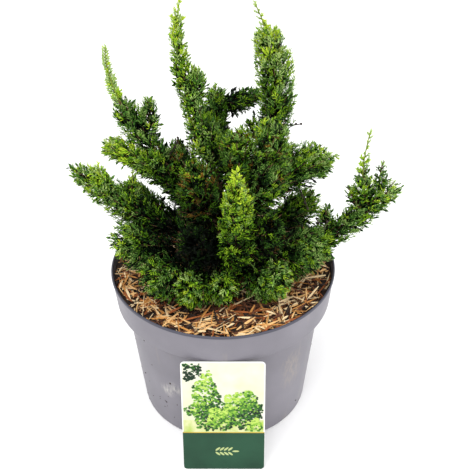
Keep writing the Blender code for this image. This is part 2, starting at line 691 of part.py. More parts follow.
class Mass:
    """One mass of foliage: its cores, twigs and leaves, gathered and then fused."""

    def __init__(self, crown, name, material):
        self.crown = crown
        self.name = name
        self.material = material
        self.rng = random.Random(f"{SEED} {name}")
        self.collection = bpy.data.collections.new("parts_of_" + name)
        bpy.context.scene.collection.children.link(self.collection)
        self.count = 0

    def gather(self, bm):
        """Keep a bmesh as one more piece of the mass."""
        self.count += 1
        piece = add_object(f"{self.name}_piece_{self.count}", bm, self.material)
        bpy.context.scene.collection.objects.unlink(piece)
        self.collection.objects.link(piece)
        return piece

    def add_core(self, axis):
        """Add the stem and core of one axis: slim where it starts, full inside, slim at its tip."""
        distances = evenly(axis.start, axis.body_end, CORE_STEP)
        radii = [axis.core_at(distance) for distance in distances]
        radii[0] = min(radii[0], BOUGH_RADIUS * BOUGH_TAPER)
        if axis.whip:
            distances += [axis.body_end + axis.whip / 2, axis.path.length]
            foot, middle, tip = WHIP_CORE
            radii[-1:] = [min(radii[-1], foot), middle, tip]
        else:
            radii[-1] = WHIP_RADIUS
        return self.gather(sweep(stations_along(axis.path, distances, radii), CORE_SIDES))

    def add_leaf(self, root, direction, across, length):
        """Add a leaf where its whole outline stays in the mass's space, and tell whether it did."""
        place = leaf_place(root, direction, across)
        corners = leaf_points(place, length)
        tests = corners[1:] + [corners[first].lerp(corners[last], share) for first, last, share in LEAF_TESTS]
        if not all(self.crown.clear_at(self.name, point) for point in tests):
            return False
        bm = bmesh.new()
        bmesh.ops.convex_hull(bm, input=[bm.verts.new(corner) for corner in corners])
        bmesh.ops.recalc_face_normals(bm, faces=bm.faces[:])
        self.gather(bm)
        return True

    def dress(self, axis):
        """Set leaves round one axis in a spiral, each pointing out and on towards the tip."""
        distance = axis.start + LEAF_FIRST
        turn = self.rng.uniform(0, math.tau)
        while distance < axis.path.length - LEAF_LAST:
            on_whip = distance > axis.body_end
            reach = axis.radius(distance)
            point, forward = axis.path.at(distance)
            side = forward.orthogonal().normalized()
            around = Matrix.Rotation(turn, 3, forward) @ side
            lean = math.radians(WHIP_LEAF_LEAN if on_whip else self.rng.uniform(*LEAF_LEAN))
            direction = around * math.cos(lean) + forward * math.sin(lean)
            left = axis.path.length - distance + LEAF_OVERSHOOT
            length = min(reach * self.rng.uniform(*LEAF_LENGTHS) / math.cos(lean), left / math.sin(lean))
            sunk = -WHIP_RADIUS if on_whip else axis.core_at(distance) * LEAF_ROOT
            across = forward.cross(around) + around * self.rng.uniform(-LEAF_TWIST, LEAF_TWIST)
            for shrink in LEAF_TRIES:
                if self.add_leaf(point + around * sunk, direction, across, length * shrink):
                    break
            if on_whip:
                turn += math.pi
                distance += WHIP_LEAF_SPACING
            else:
                turn += GOLDEN_TURN
                distance += LEAF_SPACING * LEAF_SPACING / (LEAF_SPACING + LEAF_CROWDING * reach)
        tip, forward = axis.path.at(axis.path.length)
        self.add_leaf(tip - forward * TIP_LEAF_ROOT, forward, forward.orthogonal(), TIP_LEAF)

    def fuse(self):
        """Join every piece into one solid, and remove the pieces."""
        pieces = list(self.collection.objects)
        base = pieces[0]
        self.collection.objects.unlink(base)
        bpy.context.scene.collection.objects.link(base)
        base.name = base.data.name = "foliage_" + self.name
        union = base.modifiers.new("fuse", "BOOLEAN")
        union.operation = "UNION"
        union.operand_type = "COLLECTION"
        union.collection = self.collection
        apply_modifiers(base)
        for piece in pieces[1:]:
            bpy.data.objects.remove(piece, do_unlink=True)
        bpy.data.collections.remove(self.collection)
        keep_largest_body(base.data)
        return base


def build_foliage(crown, plume, material):
    """Build one mass of foliage on its limb."""
    mass = Mass(crown, plume.name, material)
    for axis in crown.axes[plume.name]:
        mass.add_core(axis)
    for axis in crown.axes[plume.name]:
        mass.dress(axis)
    return mass.fuse()


def main():
    """Build every piece of the potted plant."""
    clear_scene()
    build_pot(make_material("grey_pot_plastic", (0.40, 0.39, 0.42), 0.45))
    build_growing_medium(make_material("growing_medium", (0.035, 0.024, 0.017), 0.95))
    build_mulch(make_material("bark_mulch", (0.50, 0.29, 0.13), 0.85))
    build_card(make_material("card_face", (0.10, 0.22, 0.12), 0.35))
    bark = make_material("bark", (0.16, 0.09, 0.05), 0.9)
    leaf = make_material("scale_leaf_green", (0.07, 0.18, 0.03), 0.6)
    build_trunk(bark)
    crown = Crown()
    for plume in PLUMES:
        if plume.bare:
            build_bough(plume, crown.paths[plume.name], bark)
        build_foliage(crown, plume, leaf)


main()
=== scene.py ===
"""Looks of the potted eastern arborvitae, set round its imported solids.

Metres, +Z up. The origin is the centre of the pot's flat underside, and -Y is the front, where the
picture card leans. Foliage grows by the rule of the solids: stems with a reach, twigs set round each
stem in a spiral, each mass in its own space. Here the twigs go on to sprigs of scale-leaf strands.
"""
import sys

import logging
import math
from dataclasses import dataclass, field
from enum import Enum
from typing import NamedTuple

import bmesh
import bpy
import numpy as np
from mathutils import Matrix, Vector, noise


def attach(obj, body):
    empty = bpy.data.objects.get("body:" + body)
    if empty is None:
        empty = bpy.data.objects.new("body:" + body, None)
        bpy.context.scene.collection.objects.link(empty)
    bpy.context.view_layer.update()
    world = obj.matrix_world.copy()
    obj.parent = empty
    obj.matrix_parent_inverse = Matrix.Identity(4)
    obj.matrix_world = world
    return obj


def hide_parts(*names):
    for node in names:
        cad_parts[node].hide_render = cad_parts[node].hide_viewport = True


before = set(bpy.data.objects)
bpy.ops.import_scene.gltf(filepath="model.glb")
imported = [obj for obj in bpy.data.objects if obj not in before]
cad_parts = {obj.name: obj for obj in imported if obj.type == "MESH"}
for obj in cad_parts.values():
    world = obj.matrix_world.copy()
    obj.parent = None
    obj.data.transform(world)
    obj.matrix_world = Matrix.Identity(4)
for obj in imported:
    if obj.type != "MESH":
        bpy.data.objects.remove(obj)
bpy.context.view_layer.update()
LOG = logging.getLogger("arborvitae")
BODY = "root"

Colour = tuple[float, float, float]

# Sizes that the solids share
GAP = 0.0003
CLEAR = 0.0008
POT_HEIGHT = 0.166
RIM_RADIUS = 0.115
BAND_DEPTH = 0.035
BAND_FOOT_RADIUS = 0.111
BODY_TOP_RADIUS = 0.1017
FOOT_RADIUS = 0.0885
WALL = 0.0018
FLOOR = 0.0025
SOIL_TOP = 0.150
MULCH_TOP = 0.1565
MULCH_WAVE = 0.0011
TRUNK_FOOT = SOIL_TOP + GAP
TRUNK_TIP = 0.262
TRUNK_RADIUS = 0.0082
TRUNK_TIP_RADIUS = 0.0036
FLARE = 0.0052
FLARE_HEIGHT = 0.009
TRUNK_LEAN = Vector((-0.003, 0.005))
TRUNK_BOW = 0.002
BOUGH_RADIUS = 0.0029
BOUGH_TAPER = 0.72
SHOOT_RADIUS = 0.0011
SEED = 7

# The rule of growth that the solids share
CURVE_STEPS = 48
AXIS_STEPS = 40
SHOOT_DIP = 25
SHOOT_LIFT = 12
SHOOT_END = 0.5
SWELL_START = 0.45
SWELL_SHARE = 0.22
TAPER_FROM = 0.40
TAPER_POWER = 1.4
WHIP_REACH = 0.0058
WHIP_TIP_REACH = 0.0028
LEAF_LEAN = (42.0, 56.0)
LEAF_LENGTHS = (0.92, 1.08)
WHIP_LEAF_LEAN = 52.0
GOLDEN_TURN = math.radians(137.5)
MULCH_CLEAR = MULCH_TOP + 2 * MULCH_WAVE + CLEAR
RIM_CLEAR_HEIGHT = POT_HEIGHT + 0.0015
RIM_CLEAR_RADIUS = RIM_RADIUS - 0.0065


def srgb(red: int, green: int, blue: int) -> Colour:
    """Turn a screen colour, 0 to 255, into the linear colour that a shader takes."""
    shares = (value / 255 for value in (red, green, blue))
    return tuple(share / 12.92 if share <= 0.04045 else ((share + 0.055) / 1.055) ** 2.4
                 for share in shares)


# Materials


@dataclass(frozen=True)
class PlainFinish:
    """One even colour, for small things whose colours are dealt out piece by piece."""

    name: str
    colour: Colour
    roughness: float = 0.5
    gloss: float = 0.5

    def make(self) -> bpy.types.Material:
        """Return the finish as a material."""
        material = bpy.data.materials.new(self.name)
        material.use_nodes = True
        shader = material.node_tree.nodes["Principled BSDF"]
        shader.inputs["Base Color"].default_value = (*self.colour, 1.0)
        shader.inputs["Roughness"].default_value = self.roughness
        shader.inputs["Specular IOR Level"].default_value = self.gloss
        return material


class NodeDesk:
    """A short way to place and link the nodes of one material.

    A spot is as strong as SPOT_STRENGTH in its middle, and its pattern runs from 0 to 1 over SPOT_EDGE.
    """

    SPOT_STRENGTH = 0.8
    SPOT_EDGE = (0.40, 0.62)

    def __init__(self, name: str, roughness: float) -> None:
        """Start a material with a Principled shader of that roughness."""
        self.material = bpy.data.materials.new(name)
        self.material.use_nodes = True
        self.tree = self.material.node_tree
        self.shader = self.tree.nodes["Principled BSDF"]
        self.shader.inputs["Roughness"].default_value = roughness

    def node(self, kind: str, **inputs: object) -> bpy.types.Node:
        """Add a node.

        Args:
            kind: The node's type, without the word ShaderNode.
            inputs: A value or an output socket for each named input, with _ for a space.

        Returns:
            The new node.
        """
        made = self.tree.nodes.new("ShaderNode" + kind)
        for name, value in inputs.items():
            socket = made.inputs[name.replace("_", " ")]
            if isinstance(value, bpy.types.NodeSocket):
                self.tree.links.new(value, socket)
            else:
                socket.default_value = value
        return made

    def places(self, stretch: Colour = (1.0, 1.0, 1.0), source: str = "Object") -> bpy.types.NodeSocket:
        """Return coordinates of the surface, stretched along each axis."""
        coordinates = self.node("TexCoord").outputs[source]
        return self.node("Mapping", Vector=coordinates, Scale=stretch).outputs["Vector"]

    def noise(self, places: bpy.types.NodeSocket, scale: float, detail: float = 3.0,
              rough: float = 0.5) -> bpy.types.NodeSocket:
        """Return a soft random pattern from 0 to 1."""
        made = self.node("TexNoise", Vector=places, Scale=scale, Detail=detail, Roughness=rough)
        return made.outputs["Fac"]

    def ramp(self, factor: bpy.types.NodeSocket, *stops: tuple[float, Colour]) -> bpy.types.NodeSocket:
        """Return colours picked by a factor, from stops of a place from 0 to 1 and the colour there."""
        made = self.node("ValToRGB", Fac=factor)
        elements = made.color_ramp.elements
        while len(elements) < len(stops):
            elements.new(0.5)
        for element, (place, colour) in zip(elements, stops):
            element.position = place
            element.color = (*colour, 1.0)
        return made.outputs["Color"]

    def blend(self, factor: bpy.types.NodeSocket, first: object, second: object) -> bpy.types.NodeSocket:
        """Return a mix of two colours, each a socket or a plain colour."""
        made = self.tree.nodes.new("ShaderNodeMix")
        made.data_type = "RGBA"
        self.tree.links.new(factor, made.inputs["Factor"])
        for index, value in ((6, first), (7, second)):
            if isinstance(value, bpy.types.NodeSocket):
                self.tree.links.new(value, made.inputs[index])
            else:
                made.inputs[index].default_value = (*value, 1.0)
        return made.outputs[2]

    def spot(self, centre: Colour, radius: float, pattern: bpy.types.NodeSocket) -> bpy.types.NodeSocket:
        """Return a factor that is a broken patch of a pattern round one place, and 0 elsewhere.

        Args:
            centre: The patch's middle.
            radius: How far it reaches.
            pattern: What breaks it up, from 0 to 1.

        Returns:
            The factor socket.
        """
        away = self.tree.nodes.new("ShaderNodeVectorMath")
        away.operation = "DISTANCE"
        self.tree.links.new(self.places(), away.inputs[0])
        away.inputs[1].default_value = centre
        near = self.node("MapRange", Value=away.outputs["Value"], From_Min=0.0, From_Max=radius,
                         To_Min=self.SPOT_STRENGTH, To_Max=0.0)
        marks = self.node("MapRange", Value=pattern, From_Min=self.SPOT_EDGE[0], From_Max=self.SPOT_EDGE[1],
                          To_Min=0.0, To_Max=1.0)
        both = self.tree.nodes.new("ShaderNodeMath")
        both.operation = "MULTIPLY"
        self.tree.links.new(near.outputs["Result"], both.inputs[0])
        self.tree.links.new(marks.outputs["Result"], both.inputs[1])
        return both.outputs["Value"]

    def colour(self, socket: bpy.types.NodeSocket) -> None:
        """Take the base colour from a socket."""
        self.tree.links.new(socket, self.shader.inputs["Base Color"])

    def relief(self, height: bpy.types.NodeSocket, depth: float, strength: float = 1.0) -> None:
        """Raise and lower the surface's shading by a pattern of that depth in metres."""
        bump = self.node("Bump", Height=height, Distance=depth, Strength=strength)
        self.tree.links.new(bump.outputs["Normal"], self.shader.inputs["Normal"])


@dataclass(frozen=True)
class PotPlastic:
    """Cool grey moulded plastic, satin, with faint clouding, a lip darkened by painted shade, pale scrapes
    and tan smears.

    The lip's painted shade stands for the dark line of shadow along the rim, and comes in over lip_edge,
    measured down from the pot's top.
    """

    name: str = "grey_pot_plastic"
    body: Colour = srgb(110, 107, 115)
    cloud: Colour = srgb(124, 121, 129)
    # Painted shade: the dark line of shadow along the rim
    lip: Colour = srgb(66, 66, 78)
    stain: Colour = srgb(150, 140, 128)
    chalk: Colour = srgb(190, 186, 180)
    chalk_places: tuple[Colour, ...] = (
        (-0.052, -0.080, 0.066),
        (-0.060, -0.074, 0.058),
        (-0.078, -0.074, 0.124),
    )
    chalk_radius: float = 0.011
    smear_places: tuple[Colour, ...] = ((0.071, -0.072, 0.090), (0.074, -0.070, 0.068))
    smear_radius: float = 0.020
    lip_edge: tuple[float, float] = (0.0034, 0.0026)

    def make(self) -> bpy.types.Material:
        """Return the finish as a material."""
        desk = NodeDesk(self.name, 0.46)
        desk.shader.inputs["Specular IOR Level"].default_value = 0.35
        clouds = desk.noise(desk.places(), 14.0, 4.0)
        base = desk.ramp(clouds, (0.35, self.body), (0.70, self.cloud))
        runs = desk.noise(desk.places((60.0, 60.0, 7.0)), 1.0, 5.0, 0.6)
        stained = desk.ramp(runs, (0.60, (0.0, 0.0, 0.0)), (0.80, (0.5, 0.5, 0.5)))
        colour = desk.blend(stained, base, self.stain)
        streaks = desk.noise(desk.places((330.0, 330.0, 90.0)), 1.0, 4.0, 0.7)
        for place in self.smear_places:
            colour = desk.blend(desk.spot(place, self.smear_radius, streaks), colour, self.stain)
        for place in self.chalk_places:
            colour = desk.blend(desk.spot(place, self.chalk_radius, streaks), colour, self.chalk)
        height = desk.node("SeparateXYZ", Vector=desk.places()).outputs["Z"]
        # Painted shade over the top of the pot, where the rim's line of shadow is
        lip = desk.node("MapRange", Value=height, From_Min=POT_HEIGHT - self.lip_edge[0],
                        From_Max=POT_HEIGHT - self.lip_edge[1])
        desk.colour(desk.blend(lip.outputs["Result"], colour, self.lip))
        grain = desk.noise(desk.places(), 900.0, 2.0)
        desk.relief(grain, 0.00004)
        return desk.material


@dataclass(frozen=True)
class Soil:
    """Dark moist peat with pale fibres in it."""

    name: str = "dark_soil"
    wet: Colour = srgb(18, 11, 8)
    moist: Colour = srgb(44, 27, 17)
    fibre: Colour = srgb(96, 61, 36)

    def make(self) -> bpy.types.Material:
        """Return the finish as a material."""
        desk = NodeDesk(self.name, 0.92)
        crumbs = desk.noise(desk.places(), 260.0, 6.0, 0.7)
        desk.colour(desk.ramp(crumbs, (0.35, self.wet), (0.55, self.moist), (0.78, self.fibre)))
        desk.relief(crumbs, 0.0012)
        return desk.material


@dataclass(frozen=True)
class Bark:
    """Reddish brown bark in long thin strips."""

    name: str = "strip_bark"
    dark: Colour = srgb(52, 34, 26)
    light: Colour = srgb(134, 98, 76)

    def make(self) -> bpy.types.Material:
        """Return the finish as a material."""
        desk = NodeDesk(self.name, 0.85)
        strips = desk.noise(desk.places((420.0, 420.0, 60.0)), 1.0, 5.0, 0.6)
        desk.colour(desk.ramp(strips, (0.32, self.dark), (0.72, self.light)))
        desk.relief(strips, 0.0005)
        return desk.material


@dataclass(frozen=True)
class WoodShred:
    """Fresh or weathered softwood, with its grain along the shred."""

    name: str
    wood: Colour
    grain_shade: float = 0.52

    def make(self) -> bpy.types.Material:
        """Return the finish as a material."""
        desk = NodeDesk(self.name, 0.78)
        grain = desk.noise(desk.places((5.0, 26.0, 1.0), "UV"), 1.0, 4.0, 0.65)
        dark = tuple(self.grain_shade * value for value in self.wood)
        desk.colour(desk.ramp(grain, (0.34, dark), (0.58, self.wood)))
        desk.relief(grain, 0.0003)
        return desk.material


@dataclass(frozen=True)
class CardInk:
    """Print on a plastic card: two inks that run softly into each other down the card."""

    name: str
    upper: Colour
    lower: Colour
    cloud_scale: float = 60.0

    def make(self) -> bpy.types.Material:
        """Return the finish as a material."""
        desk = NodeDesk(self.name, 0.40)
        desk.shader.inputs["Specular IOR Level"].default_value = 0.25
        clouds = desk.noise(desk.places(), self.cloud_scale, 3.0)
        desk.colour(desk.ramp(clouds, (0.36, self.upper), (0.66, self.lower)))
        return desk.material


# Shapes


@dataclass(frozen=True)
class Pattern:
    """One small shape as arrays, made once and then set out many times."""

    points: np.ndarray
    triangles: np.ndarray
    zones: np.ndarray
    uvs: np.ndarray

    @staticmethod
    def of(bm: bmesh.types.BMesh) -> "Pattern":
        """Read a bmesh as a pattern, with each face's material index as its zone, and free it.

        Args:
            bm: The shape, with a UV layer if its grain matters.

        Returns:
            The pattern.
        """
        bmesh.ops.triangulate(bm, faces=bm.faces[:])
        bmesh.ops.recalc_face_normals(bm, faces=bm.faces[:])
        bm.verts.index_update()
        layer = bm.loops.layers.uv.active
        points = np.array([vert.co[:] for vert in bm.verts])
        triangles = np.array([[loop.vert.index for loop in face.loops] for face in bm.faces])
        zones = np.array([face.material_index for face in bm.faces])
        uvs = np.array([[loop[layer].uv[:] if layer else (0.0, 0.0) for loop in face.loops]
                        for face in bm.faces])
        bm.free()
        return Pattern(points, triangles, zones, uvs)


class Joined:
    """Many copies of patterns, gathered into one mesh."""

    def __init__(self) -> None:
        """Start with nothing gathered."""
        self.points: list[np.ndarray] = []
        self.triangles: list[np.ndarray] = []
        self.slots: list[np.ndarray] = []
        self.uvs: list[np.ndarray] = []
        self.count = 0

    def add(self, pattern: Pattern, places: np.ndarray, slots: np.ndarray) -> None:
        """Set out copies of a pattern.

        Args:
            pattern: What is copied.
            places: For each copy a 3 by 4 matrix, with its axes and then its place as columns.
            slots: For each copy the material slot of each zone of the pattern.
        """
        copies = len(places)
        if not copies:
            return
        points = np.einsum("nij,vj->nvi", places[:, :, :3], pattern.points) + places[:, None, :, 3]
        starts = self.count + np.arange(copies) * len(pattern.points)
        self.points.append(points.reshape(-1, 3))
        self.triangles.append((pattern.triangles[None] + starts[:, None, None]).reshape(-1, 3))
        self.slots.append(slots[:, pattern.zones].reshape(-1))
        self.uvs.append(np.tile(pattern.uvs.reshape(-1, 2), (copies, 1)))
        self.count += copies * len(pattern.points)

    def piece(self, name: str, materials: list[bpy.types.Material], smooth: bool = True) -> bpy.types.Object:
        """Make what was gathered into one object.

        Args:
            name: The piece's name.
            materials: Its material slots.
            smooth: Whether it is shaded smooth.

        Returns:
            The new object, at the origin.
        """
        points = np.concatenate(self.points)
        triangles = np.concatenate(self.triangles)
        mesh = bpy.data.meshes.new(name)
        mesh.vertices.add(len(points))
        mesh.vertices.foreach_set("co", points.astype(np.float32).ravel())
        mesh.loops.add(triangles.size)
        mesh.loops.foreach_set("vertex_index", triangles.astype(np.int32).ravel())
        mesh.polygons.add(len(triangles))
        mesh.polygons.foreach_set("loop_start", np.arange(0, triangles.size, 3, dtype=np.int32))
        mesh.polygons.foreach_set("material_index", np.concatenate(self.slots).astype(np.int32))
        mesh.polygons.foreach_set("use_smooth", np.full(len(triangles), smooth))
        layer = mesh.uv_layers.new(name="grain")
        layer.data.foreach_set("uv", np.concatenate(self.uvs).astype(np.float32).ravel())
        mesh.update(calc_edges=True)
        for material in materials:
            mesh.materials.append(material)
        return linked(name, mesh)


def linked(name: str, content: bpy.types.ID) -> bpy.types.Object:
    """Put a mesh, a lamp or a lens into the scene as an object at the origin."""
    made = bpy.data.objects.new(name, content)
    bpy.context.scene.collection.objects.link(made)
    return made


def pour(bm: bmesh.types.BMesh, gathered: bmesh.types.BMesh) -> None:
    """Add one bmesh to another and free it."""
    mesh = bpy.data.meshes.new("poured")
    bm.to_mesh(mesh)
    bm.free()
    gathered.from_mesh(mesh)
    bpy.data.meshes.remove(mesh)


def piece_of(name: str, bm: bmesh.types.BMesh, materials: list[bpy.types.Material],
             sharp: float | None = None) -> bpy.types.Object:
    """Turn a bmesh into an object at the origin.

    Args:
        name: The piece's name.
        bm: Its shape, which is freed.
        materials: Its material slots.
        sharp: The edge angle in degrees from which edges stay sharp, or None for flat shading.

    Returns:
        The new object.
    """
    mesh = bpy.data.meshes.new(name)
    bm.to_mesh(mesh)
    bm.free()
    if sharp is not None:
        mesh.shade_smooth()
        mesh.set_sharp_from_angle(angle=math.radians(sharp))
    for material in materials:
        mesh.materials.append(material)
    return linked(name, mesh)


def settle(piece: bpy.types.Object, slot: str, *nodes: str) -> bpy.types.Object:
    """Let a piece ride on the plant's body and stand for nodes, and log it.

    Args:
        piece: The finished piece.
        slot: The name of a material slot; not used.
        nodes: The nodes that it stands for.

    Returns:
        The same piece.
    """
    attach(piece, BODY)
    if nodes:
        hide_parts(*nodes)
    LOG.info("%s: %d faces", piece.name, len(piece.data.polygons))
    return piece


def sweep(stations: list[Matrix], sides: int, zones: list[int] | None = None,
          pointed: bool = False) -> bmesh.types.BMesh:
    """Extrude a circle from station to station.

    Args:
        stations: Where the unit circle stands along the form.
        sides: The circle's sides.
        zones: The material index of each stretch between two stations.
        pointed: Whether the last circle closes to a point.

    Returns:
        The closed form.
    """
    bm = bmesh.new()
    bmesh.ops.create_circle(bm, segments=sides, radius=1.0, cap_ends=True, matrix=stations[0])
    edges = bm.edges[:]
    for index, (before, after) in enumerate(zip(stations, stations[1:])):
        made = bmesh.ops.extrude_edge_only(bm, edges=edges)["geom"]
        fresh = [item for item in made if isinstance(item, bmesh.types.BMVert)]
        for face in (item for item in made if isinstance(item, bmesh.types.BMFace)):
            face.material_index = zones[index] if zones else 0
        kept = set(fresh)
        edges = [edge for edge in bm.edges if edge.verts[0] in kept and edge.verts[1] in kept]
        bmesh.ops.transform(bm, matrix=after @ before.inverted(), verts=fresh)
    if pointed:
        bmesh.ops.pointmerge(bm, verts=fresh, merge_co=stations[-1].translation)
    else:
        caps = bmesh.ops.edgeloop_fill(bm, edges=edges)["faces"]
        for face in caps:
            face.material_index = zones[-1] if zones else 0
    return bm


def across(point: Vector, forward: Vector, side: Vector, half_width: float, half_depth: float) -> Matrix:
    """Return the station of a unit circle across a limb.

    Args:
        point: The circle's middle.
        forward: The way the limb goes.
        side: Which way is wide, made square to forward.
        half_width: The circle's reach to the side.
        half_depth: Its reach the other way.

    Returns:
        The station's matrix.
    """
    forward = forward.normalized()
    wide = (side - forward * side.dot(forward)).normalized()
    deep = forward.cross(wide)
    return Matrix(((wide.x * half_width, deep.x * half_depth, forward.x, point.x),
                   (wide.y * half_width, deep.y * half_depth, forward.y, point.y),
                   (wide.z * half_width, deep.z * half_depth, forward.z, point.z),
                   (0, 0, 0, 1)))


def rounded(corners: list[tuple[float, float, float]], steps: int = 4) -> list[tuple[float, float]]:
    """Round the corners of a profile.

    Args:
        corners: Radius, height and fillet of each corner.
        steps: The stretches in each round.

    Returns:
        The profile's points as radius and height.
    """
    points = []
    for index, (radius, height, fillet) in enumerate(corners):
        here = Vector((radius, height))
        if not fillet or index in (0, len(corners) - 1):
            points.append((radius, height))
            continue
        before = Vector(corners[index - 1][:2]) - here
        after = Vector(corners[index + 1][:2]) - here
        first, last = here + before.normalized() * fillet, here + after.normalized() * fillet
        for step in range(steps + 1):
            share = step / steps
            place = first.lerp(here, share).lerp(here.lerp(last, share), share)
            points.append((place.x, place.y))
    return points


def turned(profile: list[tuple[float, float]], steps: int) -> bmesh.types.BMesh:
    """Turn a profile of radius and height once round the Z axis, and weld its seam and poles."""
    bm = bmesh.new()
    verts = [bm.verts.new((radius, 0.0, height)) for radius, height in profile]
    edges = [bm.edges.new(pair) for pair in zip(verts, verts[1:])]
    bmesh.ops.spin(bm, geom=verts + edges, cent=(0, 0, 0), axis=(0, 0, 1), angle=math.tau, steps=steps,
                   use_merge=True)
    bmesh.ops.remove_doubles(bm, verts=bm.verts[:], dist=0.00001)
    bmesh.ops.recalc_face_normals(bm, faces=bm.faces[:])
    return bm


# Foliage colours


class Tint(Enum):
    """The kinds of foliage colour, each a ladder from deep shade to fresh tips."""

    GREEN = (srgb(3, 7, 2), srgb(18, 40, 6), srgb(74, 116, 20), srgb(136, 176, 36), srgb(182, 206, 56))
    BLUE = (srgb(3, 7, 3), srgb(16, 38, 12), srgb(64, 106, 36), srgb(126, 160, 78), srgb(174, 198, 116))
    BRONZE = (srgb(8, 5, 2), srgb(44, 33, 10), srgb(104, 80, 26), srgb(156, 116, 42), srgb(192, 160, 74))


LEVELS = 9
TONE_POWER = 1.6
WHIP_STEP = 0.0034


def tone(tint: Tint, level: int) -> Colour:
    """Return a tint's colour at a level of its ladder."""
    anchors = tint.value
    place = level / (LEVELS - 1) * (len(anchors) - 1)
    low = min(int(place), len(anchors) - 2)
    share = place - low
    return tuple(a + (b - a) * share for a, b in zip(anchors[low], anchors[low + 1]))


def foliage_finishes() -> list[PlainFinish]:
    """Return every foliage tone, tint by tint and level by level."""
    return [PlainFinish(f"{tint.name.lower()}_scale_{level}", tone(tint, level), 0.55, 0.10)
            for tint in Tint for level in range(LEVELS)]


def slots_of(tint: np.ndarray, level: np.ndarray) -> np.ndarray:
    """Return the material slots of tints, as numbers, at levels that may run past the ladder's ends."""
    return tint * LEVELS + np.clip(np.rint(level), 0, LEVELS - 1).astype(int)


# Plumes and shoots, as in the solids, each with its tones


@dataclass(frozen=True)
class Plume:
    """One mass of foliage with the limb under it. Lengths in metres, angles in degrees.

    The form holds shares of the girth at even steps from the mass's foot to its whip, for a plume with
    shoulders or a neck. Without a form the foliage swells, keeps its girth and tapers to the end share.
    """

    name: str
    azimuth: float
    reach: float
    top: float
    leaves_trunk: float
    first_slope: float
    last_slope: float
    girth: float
    bare: float = 0.040
    whip: float = 0.0
    pull: float = 1.0
    end: float = 0.4
    form: tuple[float, ...] = ()


@dataclass(frozen=True)
class Shoot:
    """A side shoot of a plume: where it leaves the plume's stem, where it heads, and its tones."""

    plume: str
    at: float
    azimuth: float
    slope: float
    length: float
    girth: float
    whip: float = 0.0
    low: float = 4.0
    high: float = 5.5


@dataclass(frozen=True)
class Dress:
    """The tones of a mass, and how closely it is set.

    Low and high are the levels at its stem's foot and tip. Blue and bronze are the shares that are not
    green. Fill multiplies the number of twigs, droop is how far they hang over, and whip_step is the space
    between the sprigs of a slim leader.
    """

    low: float = 3.4
    high: float = 4.6
    blue: float = 0.5
    bronze: float = 0.0
    fill: float = 1.0
    droop: float = 0.0
    whip_step: float = WHIP_STEP


